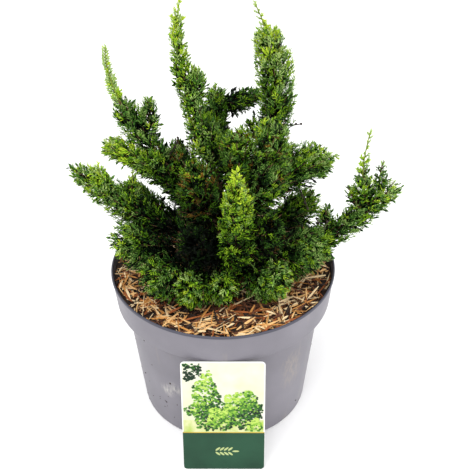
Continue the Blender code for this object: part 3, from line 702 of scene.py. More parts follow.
PLUMES = (
    # Upper tier
    Plume("left_tall", 169, 0.106, 0.397, 0.2360, 30, 95, 0.030, bare=0.050, whip=0.055, pull=0.90,
          form=(0.80, 0.95, 1.0, 1.0, 1.0, 0.95, 0.40)),
    Plume("centre_tall", 150, 0.040, 0.441, TRUNK_TIP, 74, 106, 0.044, bare=0.0, whip=0.024,
          form=(0.85, 0.92, 0.88, 0.72, 0.58, 0.50, 0.55, 0.42, 0.38, 0.26)),
    Plume("right_tall", 35, 0.039, 0.436, 0.2310, 15, 119, 0.042, bare=0.028, whip=0.039, pull=1.11,
          form=(0.65, 0.80, 0.92, 1.0, 1.0, 0.95, 0.90, 0.66)),
    Plume("right_upper", 9, 0.114, 0.281, 0.2180, 32, 2, 0.052, bare=0.030, whip=0.018,
          form=(0.60, 0.90, 1.0, 1.0, 1.0, 0.60)),
    Plume("left_middle", 174, 0.105, 0.298, 0.2200, 34, 14, 0.034, bare=0.045,
          form=(0.80, 1.0, 1.0, 0.95, 0.90, 0.65)),
    Plume("back_arch", 94, 0.072, 0.332, 0.2330, 25, 86, 0.030, bare=0.034, whip=0.010,
          form=(0.90, 1.0, 1.0, 0.90, 0.80, 0.60)),
    Plume("left_upper", 152, 0.052, 0.280, 0.2300, 28, 66, 0.056, bare=0.0, end=0.6),
    Plume("heart_left", 235, 0.040, 0.290, 0.2250, 30, 82, 0.056, bare=0.0, end=0.6),
    Plume("heart_right", 336, 0.050, 0.326, 0.2270, 26, 84, 0.056, bare=0.0, end=0.6),
    Plume("heart_middle", 318, 0.022, 0.317, 0.2440, 36, 88, 0.052, bare=0.0, end=0.6),
    Plume("back_left", 128, 0.084, 0.246, 0.2060, 20, 58, 0.056, bare=0.026, end=0.6),
    Plume("back_right", 54, 0.082, 0.244, 0.2080, 20, 58, 0.056, bare=0.026, end=0.6),
    # Lower tier
    Plume("right_arm", 354, 0.164, 0.266, 0.1885, -14, 48, 0.032, bare=0.034, pull=1.4,
          form=(1.0, 1.0, 1.0, 0.95, 0.90, 0.95, 0.90, 0.60)),
    Plume("left_low", 184, 0.138, 0.286, 0.1950, 4, 42, 0.041, bare=0.034,
          form=(0.70, 1.0, 1.0, 0.90, 0.70, 0.40)),
    Plume("front_centre", 281, 0.068, 0.319, 0.1840, -5, 93, 0.038, bare=0.028, whip=0.012, pull=1.1,
          form=(0.70, 0.95, 1.0, 1.0, 0.95, 0.85, 0.65, 0.40)),
    Plume("front_right", 338, 0.098, 0.214, 0.1810, 4, 34, 0.062, bare=0.028, end=0.6),
    Plume("front_right_low", 308, 0.082, 0.194, 0.1730, 4, 24, 0.056, bare=0.022, end=0.6),
    Plume("heart_front_right", 312, 0.062, 0.238, 0.2040, 12, 55, 0.060, bare=0.0, end=0.6),
    Plume("left_front", 203, 0.100, 0.226, 0.1880, 2, 44, 0.058, bare=0.030, end=0.6),
    Plume("left_front_low", 225, 0.092, 0.200, 0.1790, 0, 30, 0.056, bare=0.026, end=0.6),
    Plume("heart_front_left", 246, 0.060, 0.230, 0.2010, 10, 55, 0.062, bare=0.0, end=0.6),
    Plume("front_left_low", 244, 0.080, 0.192, 0.1728, 4, 28, 0.052, bare=0.022, end=0.6),
    Plume("front_low", 268, 0.066, 0.188, 0.1650, 14, 30, 0.048, bare=0.018, end=0.6),
    Plume("back_low_right", 70, 0.098, 0.218, 0.1820, 4, 45, 0.054, bare=0.028, end=0.6),
    Plume("back_low_left", 112, 0.098, 0.214, 0.1760, 4, 45, 0.054, bare=0.028, end=0.6),
    Plume("back_left_low", 152, 0.106, 0.220, 0.1860, 4, 42, 0.056, bare=0.028, end=0.6),
    Plume("back_right_low", 28, 0.100, 0.208, 0.1780, 4, 34, 0.054, bare=0.028, end=0.6),
)

SHOOTS = (
    Shoot("right_arm", 0.84, 176, 86, 0.082, 0.022, whip=0.044, low=4.4, high=7.0),
    Shoot("right_arm", 0.58, 178, 75, 0.030, 0.022, low=4.0, high=5.5),
    Shoot("right_arm", 0.92, 110, 84, 0.034, 0.014, low=4.2, high=5.8),
    Shoot("right_arm", 0.80, 178, 58, 0.030, 0.015, low=4.0, high=5.4),
    Shoot("left_low", 0.72, 196, 72, 0.040, 0.024, whip=0.010, low=5.6, high=8.6),
    Shoot("left_low", 0.64, 10, 74, 0.038, 0.020, whip=0.010, low=5.0, high=8.2),
    Shoot("centre_tall", 0.44, 340, 80, 0.036, 0.020, low=4.0, high=6.0),
    Shoot("back_arch", 0.86, 4, 8, 0.042, 0.028, low=2.6, high=4.4),
    Shoot("right_upper", 0.50, 60, 70, 0.036, 0.024, low=3.6, high=5.0),
    Shoot("left_tall", 0.50, 352, 80, 0.040, 0.024),
    Shoot("right_tall", 0.34, 186, 50, 0.030, 0.022, low=2.4, high=4.0),
    Shoot("left_middle", 0.62, 265, 62, 0.028, 0.024, low=3.4, high=5.0),
    Shoot("back_left", 0.60, 190, 70, 0.036, 0.026),
    Shoot("back_right", 0.60, 330, 70, 0.034, 0.026),
)

DRESSES = {
    "left_tall": Dress(4.0, 6.8, blue=0.70, whip_step=0.0015),
    "centre_tall": Dress(3.8, 7.6, blue=0.50, fill=1.15, whip_step=0.0018),
    "right_tall": Dress(4.2, 7.2, blue=0.60),
    "right_upper": Dress(3.8, 6.2, blue=0.60),
    "left_middle": Dress(3.6, 6.0, blue=0.35, fill=1.3),
    "back_arch": Dress(2.6, 4.2, blue=0.6, fill=1.8),
    # The masses inside the crown, left_upper and the hearts, are set low: painted shade
    "left_upper": Dress(2.0, 3.6, bronze=0.18),
    "heart_left": Dress(1.0, 4.0, blue=0.35, bronze=0.18),
    "heart_middle": Dress(2.4, 4.6, blue=0.40, bronze=0.10),
    "heart_right": Dress(3.0, 5.2, blue=0.65, bronze=0.04, droop=0.5),
    "right_arm": Dress(3.4, 5.6, blue=0.65),
    "left_low": Dress(3.4, 5.4, blue=0.5),
    "front_centre": Dress(2.4, 9.0, blue=0.20),
    # The hearts in front, deepest in the crown, are set lowest: painted shade
    "heart_front_left": Dress(-1.6, 0.4, blue=0.4, bronze=0.06),
    "heart_front_right": Dress(0.2, 2.4, blue=0.4, bronze=0.06),
    "left_front": Dress(2.2, 5.0, blue=0.6, droop=0.9),
    "left_front_low": Dress(2.2, 4.8, blue=0.6, droop=0.9),
    "front_left_low": Dress(2.6, 6.2, blue=0.45, droop=0.9),
    "front_low": Dress(2.8, 6.6, blue=0.45, droop=0.9),
    "front_right": Dress(2.8, 5.2, blue=0.7, droop=0.9),
    "front_right_low": Dress(2.8, 6.0, blue=0.55, droop=0.9),
    "back_low_right": Dress(3.0, 4.8, fill=1.25),
    "back_low_left": Dress(3.0, 4.8, fill=1.25),
}
PLAIN_DRESS = Dress()


def heading(azimuth: float, slope: float) -> Vector:
    """Return the unit vector of a compass angle and a slope, both in degrees."""
    turn, climb = math.radians(azimuth), math.radians(slope)
    return Vector((math.cos(climb) * math.cos(turn), math.cos(climb) * math.sin(turn), math.sin(climb)))


def trunk_point(height: float) -> Vector:
    """Return the middle of the trunk at a height."""
    share = (height - TRUNK_FOOT) / (TRUNK_TIP - TRUNK_FOOT)
    middle = TRUNK_LEAN * share
    return Vector((middle.x + TRUNK_BOW * math.sin(math.pi * share), middle.y, height))


def trunk_radius(height: float) -> float:
    """Return the trunk's radius at a height."""
    rise = height - TRUNK_FOOT
    taper = TRUNK_RADIUS + (TRUNK_TIP_RADIUS - TRUNK_RADIUS) * rise / (TRUNK_TIP - TRUNK_FOOT)
    return taper + FLARE * math.exp(-rise / FLARE_HEIGHT)


def bough_radius(distance: float, bare: float) -> float:
    """Return a bough's radius at a distance along it."""
    return BOUGH_RADIUS * (1 - (1 - BOUGH_TAPER) * distance / bare)


class Path:
    """A smooth limb from one point to another that sets off and ends at given directions."""

    def __init__(self, start: Vector, end: Vector, leave: Vector, arrive: Vector, pull: float = 1.0) -> None:
        """Work out the limb's points.

        Args:
            start: Where it begins.
            end: Where it ends.
            leave: The direction in which it sets off.
            arrive: The direction in which it ends.
            pull: How strongly both directions hold.
        """
        t = np.linspace(0.0, 1.0, CURVE_STEPS + 1)[:, None]
        span = (end - start).length * pull
        self.points = (np.array(start) * (2 * t**3 - 3 * t**2 + 1)
                       + np.array(leave) * span * (t**3 - 2 * t**2 + t)
                       + np.array(end) * (3 * t**2 - 2 * t**3)
                       + np.array(arrive) * span * (t**3 - t**2))
        steps = np.diff(self.points, axis=0)
        sizes = np.linalg.norm(steps, axis=1)
        self.lengths = np.concatenate(([0.0], np.cumsum(sizes)))
        self.ways = steps / sizes[:, None]
        self.length = float(self.lengths[-1])

    def at(self, distance: float) -> tuple[Vector, Vector]:
        """Return the point and the direction at a distance along the path."""
        distance = min(max(distance, 0.0), self.length)
        index = min(int(np.searchsorted(self.lengths, distance, side="right")) - 1, CURVE_STEPS - 1)
        share = (distance - self.lengths[index]) / (self.lengths[index + 1] - self.lengths[index])
        point = self.points[index] + (self.points[index + 1] - self.points[index]) * share
        return Vector(point), Vector(self.ways[index])


def plume_path(plume: Plume) -> Path:
    """Return the path of a plume's limb, from the trunk to the plume's tip."""
    out = heading(plume.azimuth, 0)
    tip = out * plume.reach + Vector((0, 0, plume.top))
    if plume.leaves_trunk >= TRUNK_TIP:
        root = trunk_point(TRUNK_TIP) + Vector((0, 0, GAP))
    else:
        middle = trunk_point(plume.leaves_trunk)
        tall = BOUGH_RADIUS / math.cos(math.radians(plume.first_slope))
        heights = (plume.leaves_trunk - tall, plume.leaves_trunk, plume.leaves_trunk + tall)
        root = middle + out * (max((trunk_point(height) - middle).dot(out) + trunk_radius(height)
                                   for height in heights) + GAP)
    return Path(root, tip, heading(plume.azimuth, plume.first_slope),
                heading(plume.azimuth, plume.last_slope), plume.pull)


def shoot_path(shoot: Shoot, stem: Path) -> Path:
    """Return the path of a side shoot, which turns up towards its tip."""
    root = stem.at(stem.length * shoot.at)[0]
    tip = root + heading(shoot.azimuth, shoot.slope) * shoot.length
    return Path(root, tip, heading(shoot.azimuth, shoot.slope - SHOOT_DIP),
                heading(shoot.azimuth, shoot.slope + SHOOT_LIFT))


@dataclass
class Stem:
    """A stem inside a mass: its path, where its foliage starts, how far that reaches, and its tones."""

    path: Path
    start: float
    girth: float
    whip: float
    end: float
    azimuth: float
    foot_radius: float
    low: float
    high: float
    form: tuple[float, ...] = ()
    whip_step: float = WHIP_STEP
    points: np.ndarray = field(init=False)
    reach: np.ndarray = field(init=False)

    def __post_init__(self) -> None:
        """Measure the stem at even steps."""
        distances = np.linspace(self.start, self.path.length, AXIS_STEPS + 1)
        self.points = np.array([self.path.at(distance)[0] for distance in distances])
        self.reach = np.array([self.radius(distance) for distance in distances])

    @property
    def body_end(self) -> float:
        """Where the full foliage ends and the slim whip starts."""
        return self.path.length - self.whip

    def radius(self, distance: float) -> float:
        """Return the foliage's radius at a distance along the path."""
        if self.whip and distance > self.body_end:
            share = (distance - self.body_end) / self.whip
            return WHIP_REACH + (WHIP_TIP_REACH - WHIP_REACH) * share
        share = (distance - self.start) / (self.body_end - self.start)
        if self.form:
            place = share * (len(self.form) - 1)
            return self.girth / 2 * float(np.interp(place, range(len(self.form)), self.form))
        swell = min(1.0, SWELL_START + share / SWELL_SHARE)
        fade = max(0.0, (share - TAPER_FROM) / (1.0 - TAPER_FROM)) ** TAPER_POWER
        return self.girth / 2 * swell * (1.0 - (1.0 - self.end) * fade)

    def level(self, distance: float) -> float:
        """Return the tone's level at a distance along the path."""
        share = (distance - self.start) / (self.path.length - self.start)
        return self.low + (self.high - self.low) * share**TONE_POWER


class Crown:
    """All stems of the plant, and the rule that keeps each mass to its own space.

    A sprig may reach past its mass's border with a neighbour by SLACK, and past its reach by OVER. The bare
    wood is measured as balls, set at WOOD_STEPS places up the trunk and every WOOD_STEP along the boughs.
    """

    SLACK = 0.0020
    OVER = 0.0016
    WOOD_STEPS = 31
    WOOD_STEP = 0.003

    def __init__(self) -> None:
        """Lay out every limb and stem."""
        self.paths = {plume.name: plume_path(plume) for plume in PLUMES}
        self.stems: dict[str, list[Stem]] = {}
        for plume in PLUMES:
            dress = DRESSES.get(plume.name, PLAIN_DRESS)
            foot = BOUGH_RADIUS * BOUGH_TAPER
            self.stems[plume.name] = [Stem(self.paths[plume.name], plume.bare + GAP, plume.girth, plume.whip,
                                           plume.end, plume.azimuth, foot, dress.low, dress.high,
                                           plume.form, dress.whip_step)]
        for shoot in SHOOTS:
            path = shoot_path(shoot, self.paths[shoot.plume])
            self.stems[shoot.plume].append(Stem(path, 0.0, shoot.girth, shoot.whip, SHOOT_END, shoot.azimuth,
                                                SHOOT_RADIUS, shoot.low, shoot.high))
        owners, points, reach = [], [], []
        for name, stems in self.stems.items():
            for stem in stems:
                owners += [name] * len(stem.points)
                points.append(stem.points)
                reach.append(stem.reach)
        self.owners = np.array(owners)
        self.points = np.concatenate(points)
        self.reach = np.concatenate(reach)
        wood = [(*trunk_point(height), trunk_radius(height))
                for height in np.linspace(TRUNK_FOOT, TRUNK_TIP, self.WOOD_STEPS)]
        for plume in PLUMES:
            for distance in np.arange(0.0, plume.bare, self.WOOD_STEP):
                wood.append((*self.paths[plume.name].at(distance)[0], bough_radius(distance, plume.bare)))
        self.wood = np.array(wood)

    @staticmethod
    def apart(points: np.ndarray, others: np.ndarray) -> np.ndarray:
        """Return the distance from each point to each of the others."""
        squares = (points**2).sum(1)[:, None] + (others**2).sum(1)[None] - 2 * points @ others.T
        return np.sqrt(np.maximum(squares, 0.0))

    def beyond(self, name: str, points: np.ndarray) -> tuple[np.ndarray, np.ndarray]:
        """Measure points against the mass's own space.

        Args:
            name: The mass.
            points: The points to measure.

        Returns:
            How far each lies beyond the mass's reach, negative inside it, and whether it may be there.
        """
        past = self.apart(points, self.points) - self.reach
        mine = self.owners == name
        own = past[:, mine].min(1)
        others = past[:, ~mine].min(1)
        clear = (own < others + self.SLACK) & (own < self.OVER) & (points[:, 2] > MULCH_CLEAR)
        low = (points[:, 2] < RIM_CLEAR_HEIGHT) & (np.hypot(points[:, 0], points[:, 1]) > RIM_CLEAR_RADIUS)
        wood = (self.apart(points, self.wood[:, :3]) - self.wood[:, 3]).min(1) > CLEAR
        return own, clear & ~low & wood


# Sprigs and twigs


TWIG_BOW = 0.22


class Sprig(NamedTuple):
    """Where a sprig stands: its foot, its direction, a rough normal, its length and its tone's level."""

    root: Vector
    way: Vector
    normal: Vector
    length: float
    level: float


class Twig(NamedTuple):
    """A bent twig: its foot, direction, the way it bends, the way across, its length and its level."""

    root: Vector
    way: Vector
    bend: Vector
    side: Vector
    length: float
    level: float

    def at(self, share: float) -> Vector:
        """Return the point at a share of the twig's length."""
        return self.root + (self.way * share + self.bend * TWIG_BOW * share**2) * self.length


def columns(rows: list[Sprig] | list[Twig]) -> list[np.ndarray]:
    """Return one array for each field of sprigs or twigs."""
    return [np.array([value[:] if isinstance(value, Vector) else value for value in column])
            for column in zip(*rows)]


@dataclass
class SprigForm:
    """The form of a sprig: a curved strand with shorter strands on either side of it, in a unit length.

    The side_shares say where on the main strand the side strands begin, and over how much of it they are
    spread. The girths are those of a strand's stations before its tip.
    """

    side_strands: int
    spread: float
    seed: int
    width: float = 0.105
    flatness: float = 0.6
    side_length: float = 0.56
    curl: float = 0.44
    side_shares: tuple[float, float] = (0.10, 0.68)
    girths: tuple[float, ...] = (0.78, 1.0, 0.72)
    tip_girth: float = 0.1

    def strand(self, bm: bmesh.types.BMesh, root: Vector, way: Vector, bend: Vector, length: float,
               stretches: int) -> None:
        """Add one strand to a bmesh.

        Args:
            bm: Where it is added.
            root: Its foot.
            way: The direction in which it sets off.
            bend: How far its tip is bent aside, in its own lengths.
            length: Its length.
            stretches: How many stretches it has, 2 or 3.
        """
        stations = []
        wide = way.cross(Vector((0, 0, 1)))
        for index in range(stretches + 1):
            share = index / stretches
            point = root + (way * share + bend * share**2) * length
            forward = way + bend * 2 * share
            girth = self.girths[index] if index < stretches else self.tip_girth
            half = self.width / 2 * girth
            stations.append(across(point, forward, wide, half, half * self.flatness))
        pour(sweep(stations, 3, list(range(3 - stretches, 3)), pointed=True), bm)

    def make(self) -> Pattern:
        """Return the sprig as a pattern."""
        rng = np.random.default_rng(self.seed)
        bm = bmesh.new()
        bow = Vector((-0.06, rng.uniform(-0.22, 0.22), rng.uniform(0.0, self.curl)))
        self.strand(bm, Vector((0, 0, 0)), Vector((1, 0, 0)), bow, 1.0, 3)
        first, span = self.side_shares
        for index in range(self.side_strands):
            share = first + span * index / max(1, self.side_strands - 1)
            hand = 1 if index % 2 else -1
            angle = math.radians(rng.uniform(0.7, 1.3) * self.spread)
            lift = rng.uniform(-0.5, 0.6)
            way = Vector((math.cos(angle), hand * math.sin(angle), lift)).normalized()
            bend = Vector((rng.uniform(0.1, 0.4), -hand * rng.uniform(0.0, 0.4),
                           rng.uniform(-0.1, self.curl)))
            root = Vector((share, bow.y * share**2, bow.z * share**2))
            length = self.side_length * (1.1 - 0.5 * share) * rng.uniform(0.75, 1.25)
            self.strand(bm, root, way, bend, length, 2)
        return Pattern.of(bm)


def twig_form(taper: float, depth: float) -> Pattern:
    """Return a bent twig as a pattern.

    Args:
        taper: Its tip's thickness, as a share of its foot's.
        depth: Its depth, as a share of its width.

    Returns:
        The pattern, of unit length and with a foot of unit radius.
    """
    stations = []
    for share in (0.0, 0.5, 1.0):
        point = Vector((share, 0, TWIG_BOW * share**2))
        forward = Vector((1, 0, 2 * TWIG_BOW * share))
        radius = 1.0 + (taper - 1.0) * share
        stations.append(across(point, forward, Vector((0, 1, 0)), radius, radius))
    form = Pattern.of(sweep(stations, 3))
    middle = TWIG_BOW * form.points[:, 0] ** 2
    form.points[:, 2] = middle + (form.points[:, 2] - middle) * depth
    return form


@dataclass
class Foliage:
    """Every mass of foliage: twigs in a spiral round each stem, with sprigs along the twigs.

    Fans are broad shaded sprigs near a twig's foot. Twigs whose tips lie close together share a tuft: some
    tufts stand out and are lighter, as painted light, and those between them are shorter and darker, as
    painted shade. Sprigs that stand deeper in their mass are darker too, as painted shade. The names that
    start with inner are for the shaded sprays on the bare wood. The zone steps are how many levels each zone
    of a sprig lies above the sprig's own, a darker foot as painted shade and a lighter tip as painted
    highlight, and the shrinks are what is tried on a sprig that does not fit.
    """

    crown: Crown
    twig_spacing: float = 0.0064
    twig_crowding: float = 0.9
    first_twig: float = 0.35
    last_twig: float = 0.001
    twig_radius: float = 0.00055
    twig_reach: float = 0.9
    twig_unevenness: float = 0.5
    stem_step: float = 0.006
    stem_tip_radius: float = 0.0005
    sprig_spacing: float = 0.0042
    sprig_length: float = 0.0128
    sprig_angles: tuple[float, float] = (28, 50)
    sprig_unevenness: float = 0.5
    sprig_toss: float = 0.8
    bare_share: float = 0.30
    fan_length: float = 0.0120
    fan_shares: tuple[float, ...] = (0.10, 0.34, 0.58)
    fan_shade: float = 2.6
    tip_sprig_drop: float = 0.006
    tip_sprig_length: float = 0.010
    whip_tip_drop: float = 0.004
    whip_tip_length: float = 0.009
    # Painted shade: how many levels the deepest sprigs are darker
    depth_shade_fall: float = 4.6
    # Zone steps: a sprig's foot darker by painted shade, its tip lighter by painted highlight
    zone_shade_highlight_steps: tuple[float, ...] = (-2.6, 0.4, 2.0)
    shrinks: tuple[float, ...] = (1.0, 0.8, 0.62, 0.45)
    tuft_scale: float = 105.0
    tuft_depth: float = 0.40
    # Painted light on tufts that stand out, painted shade on those between
    tuft_light_shade: float = 2.0
    inner_length: float = 0.020
    inner_spacing: float = 0.0014
    inner_level: float = 1.3
    inner_from: float = 0.25
    inner_trunk_from: float = 0.186

    STILL = np.array([[[1.0, 0, 0, 0], [0, 1.0, 0, 0], [0, 0, 1.0, 0]]])
    SPRIG_TESTS = np.array(((1.0, 0.0, 0.0), (0.6, 0.30, 0.0), (0.6, -0.30, 0.0), (0.3, 0.0, 0.0)))

    def __post_init__(self) -> None:
        """Make the patterns and materials that all masses share."""
        self.sprigs = [SprigForm(7, 42, seed).make() for seed in range(8)]
        self.small_sprigs = [SprigForm(5, 42, seed, width=0.25, side_length=0.52).make()
                             for seed in range(20, 25)]
        self.fans = [SprigForm(2, 38, seed, width=0.30, side_length=0.64).make() for seed in range(30, 34)]
        self.twig = twig_form(0.6, 0.02)
        self.tones = [finish.make() for finish in foliage_finishes()]
        self.barks = [Bark("young_bark", srgb(58, 40, 26), srgb(124, 92, 58)).make(),
                      PlainFinish("green_twig", srgb(118, 130, 48), 0.6, 0.2).make()]

    def toss(self, rng: np.random.Generator) -> Vector:
        """Return a random turn for a sprig's normal."""
        return Vector(rng.uniform(-self.sprig_toss, self.sprig_toss, 3))

    def twigs_on(self, stem: Stem, dress: Dress, rng: np.random.Generator) -> list[Twig]:
        """Set twigs round a stem in a spiral, each pointing out and on towards the tip.

        Args:
            stem: The stem.
            dress: How closely its mass is set, and how far the twigs hang over.
            rng: The mass's own random numbers.

        Returns:
            The twigs.
        """
        twigs = []
        distance = stem.start + self.first_twig * self.twig_spacing
        turn = rng.uniform(0, math.tau)
        sideways = heading(stem.azimuth + 90, 0)
        while distance < stem.body_end - self.last_twig:
            reach = stem.radius(distance)
            point, forward = stem.path.at(distance)
            side = (sideways - forward * sideways.dot(forward)).normalized()
            around = Matrix.Rotation(turn, 3, forward) @ side
            lean = math.radians(rng.uniform(*LEAF_LEAN))
            way = around * math.cos(lean) + forward * math.sin(lean)
            length = reach * rng.uniform(*LEAF_LENGTHS) / math.cos(lean)
            bend = forward - Vector((0, 0, dress.droop))
            bend = (bend - way * bend.dot(way)).normalized()
            tuft = noise.noise((point + way * length) * self.tuft_scale)
            length *= 1.0 + self.tuft_depth * min(0.0, tuft)
            # Tufts that stand out are lighter, as painted light, and those between darker, as painted shade
            level = stem.level(distance) + self.tuft_light_shade * tuft + rng.normal(0.0, self.twig_unevenness)
            twigs.append(Twig(point, way, bend, way.cross(bend), length, level))
            turn += GOLDEN_TURN
            distance += self.twig_spacing**2 / (self.twig_spacing + self.twig_crowding * reach) / dress.fill
        return twigs

    def sprigs_on(self, twig: Twig, rng: np.random.Generator) -> list[Sprig]:
        """Set sprigs on either side of a twig and one at its tip.

        Args:
            twig: The twig.
            rng: The mass's own random numbers.

        Returns:
            The sprigs.
        """
        sprigs = []
        count = max(2, round(twig.length * (1 - self.bare_share) / self.sprig_spacing))
        roll = rng.uniform(-1.0, 1.0)
        spread = twig.side * math.cos(roll) + twig.bend * math.sin(roll)
        for index in range(count + 1):
            share = self.bare_share + (1 - self.bare_share) * index / count
            along = (twig.way + twig.bend * 2 * TWIG_BOW * share).normalized()
            if index == count:
                heads, size = along, self.sprig_length * 0.85
            else:
                hand = 1 if index % 2 else -1
                angle = math.radians(rng.uniform(*self.sprig_angles))
                heads = along * math.cos(angle) + spread * (hand * math.sin(angle))
                heads = (heads + along.cross(spread) * rng.uniform(-0.3, 0.3)).normalized()
                size = self.sprig_length * (1.08 - 0.35 * share) * rng.uniform(0.85, 1.12)
            size = min(size, 0.75 * twig.length + 0.003)
            normal = twig.bend + Vector((0, 0, 0.4)) + self.toss(rng)
            level = twig.level + rng.normal(0.0, self.sprig_unevenness)
            sprigs.append(Sprig(twig.at(share), heads, normal, size, level))
        return sprigs

    def fans_on(self, twig: Twig, rng: np.random.Generator) -> list[Sprig]:
        """Set broad shaded fans along the inner part of a twig."""
        fans = []
        for share in self.fan_shares:
            turn = rng.uniform(0, math.tau)
            aside = twig.side * math.cos(turn) + twig.bend * math.sin(turn)
            heads = (twig.way + aside * rng.uniform(0.3, 1.0)).normalized()
            size = min(self.fan_length * rng.uniform(0.8, 1.1), 0.6 * twig.length + 0.002)
            normal = twig.bend + self.toss(rng)
            level = twig.level - self.fan_shade + rng.normal(0.0, self.sprig_unevenness)
            fans.append(Sprig(twig.at(share), heads, normal, size, level))
        return fans

    def whip_sprigs(self, stem: Stem, rng: np.random.Generator) -> list[Sprig]:
        """Set small sprigs on either side of a stem's slim leader and one at its tip."""
        sprigs = []
        distance = stem.body_end
        roll = rng.uniform(-0.5, 0.5)
        hand = 1
        lean = math.radians(WHIP_LEAF_LEAN)
        while distance < stem.path.length:
            point, forward = stem.path.at(distance)
            side = Matrix.Rotation(roll, 3, forward) @ forward.cross(Vector((0, 1, 0))).normalized()
            heads = side * (hand * math.cos(lean)) + forward * math.sin(lean)
            size = stem.radius(distance) / math.cos(lean) * rng.uniform(0.85, 1.1)
            level = stem.level(distance) + rng.normal(0, 0.3)
            sprigs.append(Sprig(point, heads, heads.cross(side), size, level))
            roll += rng.uniform(-0.5, 0.5)
            hand = -hand
            distance += stem.whip_step
        sprigs.append(self.tip_sprig(stem, self.whip_tip_drop, self.whip_tip_length))
        return sprigs

    @staticmethod
    def tip_sprig(stem: Stem, drop: float, length: float) -> Sprig:
        """Return the sprig that ends a stem, set that far back from its tip."""
        tip, forward = stem.path.at(stem.path.length)
        return Sprig(tip - forward * drop, forward, forward.orthogonal(), length, stem.high)

    def inner_sprig(self, point: Vector, forward: Vector, turn: float, rng: np.random.Generator) -> Sprig:
        """Set one shaded sprig on bare wood.

        Args:
            point: Where it stands.
            forward: The way the wood goes.
            turn: How far round the wood it stands, in radians.
            rng: Random numbers.

        Returns:
            The sprig.
        """
        around = Matrix.Rotation(turn, 3, forward) @ forward.orthogonal().normalized()
        lean = math.radians(rng.uniform(10, 50))
        heads = around * math.cos(lean) + forward * math.sin(lean)
        normal = forward + self.toss(rng)
        length = self.inner_length * rng.uniform(0.7, 1.15)
        return Sprig(point, heads, normal, length, rng.normal(self.inner_level, 0.8))

    @staticmethod
    def placed(roots: np.ndarray, ways: np.ndarray, normals: np.ndarray, sizes: np.ndarray) -> np.ndarray:
        """Return place matrices from roots, directions, rough normals and sizes."""
        x = ways / np.linalg.norm(ways, axis=1, keepdims=True)
        z = normals - x * (normals * x).sum(1, keepdims=True)
        z /= np.linalg.norm(z, axis=1, keepdims=True)
        y = np.cross(z, x)
        size = sizes[:, None]
        return np.stack((x * size, y * size, z * size, roots), axis=2)

    def fit(self, name: str, sprigs: list[Sprig]) -> tuple[np.ndarray, np.ndarray, np.ndarray]:
        """Shrink or skip the sprigs that would leave their mass's space.

        Args:
            name: The mass.
            sprigs: Its sprigs.

        Returns:
            Place matrices, levels and how deep each sprig stands, all of the sprigs that are kept.
        """
        roots, ways, normals, sizes, levels = columns(sprigs)
        kept = np.zeros(len(sprigs), bool)
        depth = np.zeros(len(sprigs))
        for shrink in self.shrinks:
            places = self.placed(roots, ways, normals, sizes * shrink)
            points = np.einsum("nij,tj->nti", places[:, :, :3], self.SPRIG_TESTS) + places[:, None, :, 3]
            own, clear = self.crown.beyond(name, points.reshape(-1, 3))
            fits = clear.reshape(len(sprigs), -1).all(1) & ~kept
            depth[fits] = -own.reshape(len(sprigs), -1)[fits, 0]
            sizes[fits] *= shrink
            kept |= fits
        return self.placed(roots, ways, normals, sizes)[kept], levels[kept], depth[kept]

    def deal(self, sprays: Joined, forms: list[Pattern], places: np.ndarray, tint: np.ndarray,
             levels: np.ndarray, rng: np.random.Generator) -> None:
        """Deal out forms and tones to sprigs, and gather them.

        Args:
            sprays: Where they are gathered.
            forms: The patterns to deal out.
            places: The sprigs' place matrices.
            tint: Their tints, as numbers.
            levels: Their tones' levels.
            rng: Random numbers.
        """
        picks = rng.integers(0, len(forms), len(places))
        # Each zone of a sprig steps its level: a darker foot as painted shade, a lighter tip as painted
        # highlight
        slots = np.stack([slots_of(tint, levels + step) for step in self.zone_shade_highlight_steps], axis=1)
        for index, form in enumerate(forms):
            chosen = picks == index
            sprays.add(form, places[chosen], slots[chosen])

    def add_sprigs(self, name: str, sprays: Joined, forms: list[Pattern], sprigs: list[Sprig],
                   rng: np.random.Generator) -> None:
        """Add the sprigs that fit a mass's space, the deeper the darker as painted shade.

        Args:
            name: The mass.
            sprays: Where they are gathered.
            forms: The patterns to deal out.
            sprigs: The sprigs.
            rng: The mass's own random numbers.
        """
        dress = DRESSES.get(name, PLAIN_DRESS)
        places, levels, depth = self.fit(name, sprigs)
        reach = max(stem.girth for stem in self.crown.stems[name]) / 2
        # Sprigs deep in the mass are darker: painted shade
        levels = levels - self.depth_shade_fall * np.clip(depth / reach, 0.0, 1.0)
        dice = rng.random(len(places))
        tint = np.where(dice < dress.bronze, 2, np.where(dice < dress.bronze + dress.blue, 1, 0))
        self.deal(sprays, forms, places, tint, levels, rng)

    def add_twigs(self, name: str, wood: Joined, twigs: list[Twig]) -> None:
        """Add the twigs that stay in the mass's space to its wood."""
        roots, ways, bends, _sides, lengths, _levels = columns(twigs)
        tips = roots + (ways + bends * TWIG_BOW) * lengths[:, None] * self.twig_reach
        kept = self.crown.beyond(name, tips)[1]
        places = self.placed(roots, ways, bends, lengths * self.twig_reach)
        places[:, :, 1] *= (self.twig_radius / lengths)[:, None]
        wood.add(self.twig, places[kept], np.zeros((kept.sum(), 1), int))

    def stem_form(self, stem: Stem) -> Pattern:
        """Return a stem as a pattern, from where it enters the mass to its tip."""
        span = stem.path.length - stem.start
        count = max(6, round(span / self.stem_step))
        stations, zones = [], []
        for index in range(count + 1):
            share = index / count
            point, forward = stem.path.at(stem.start + span * share)
            radius = stem.foot_radius + (self.stem_tip_radius - stem.foot_radius) * share**0.7
            stations.append(across(point, forward, heading(stem.azimuth + 90, 0), radius, radius))
            zones.append(int(stem.start + span * (index + 1) / count > stem.body_end))
        return Pattern.of(sweep(stations, 6, zones[:-1]))

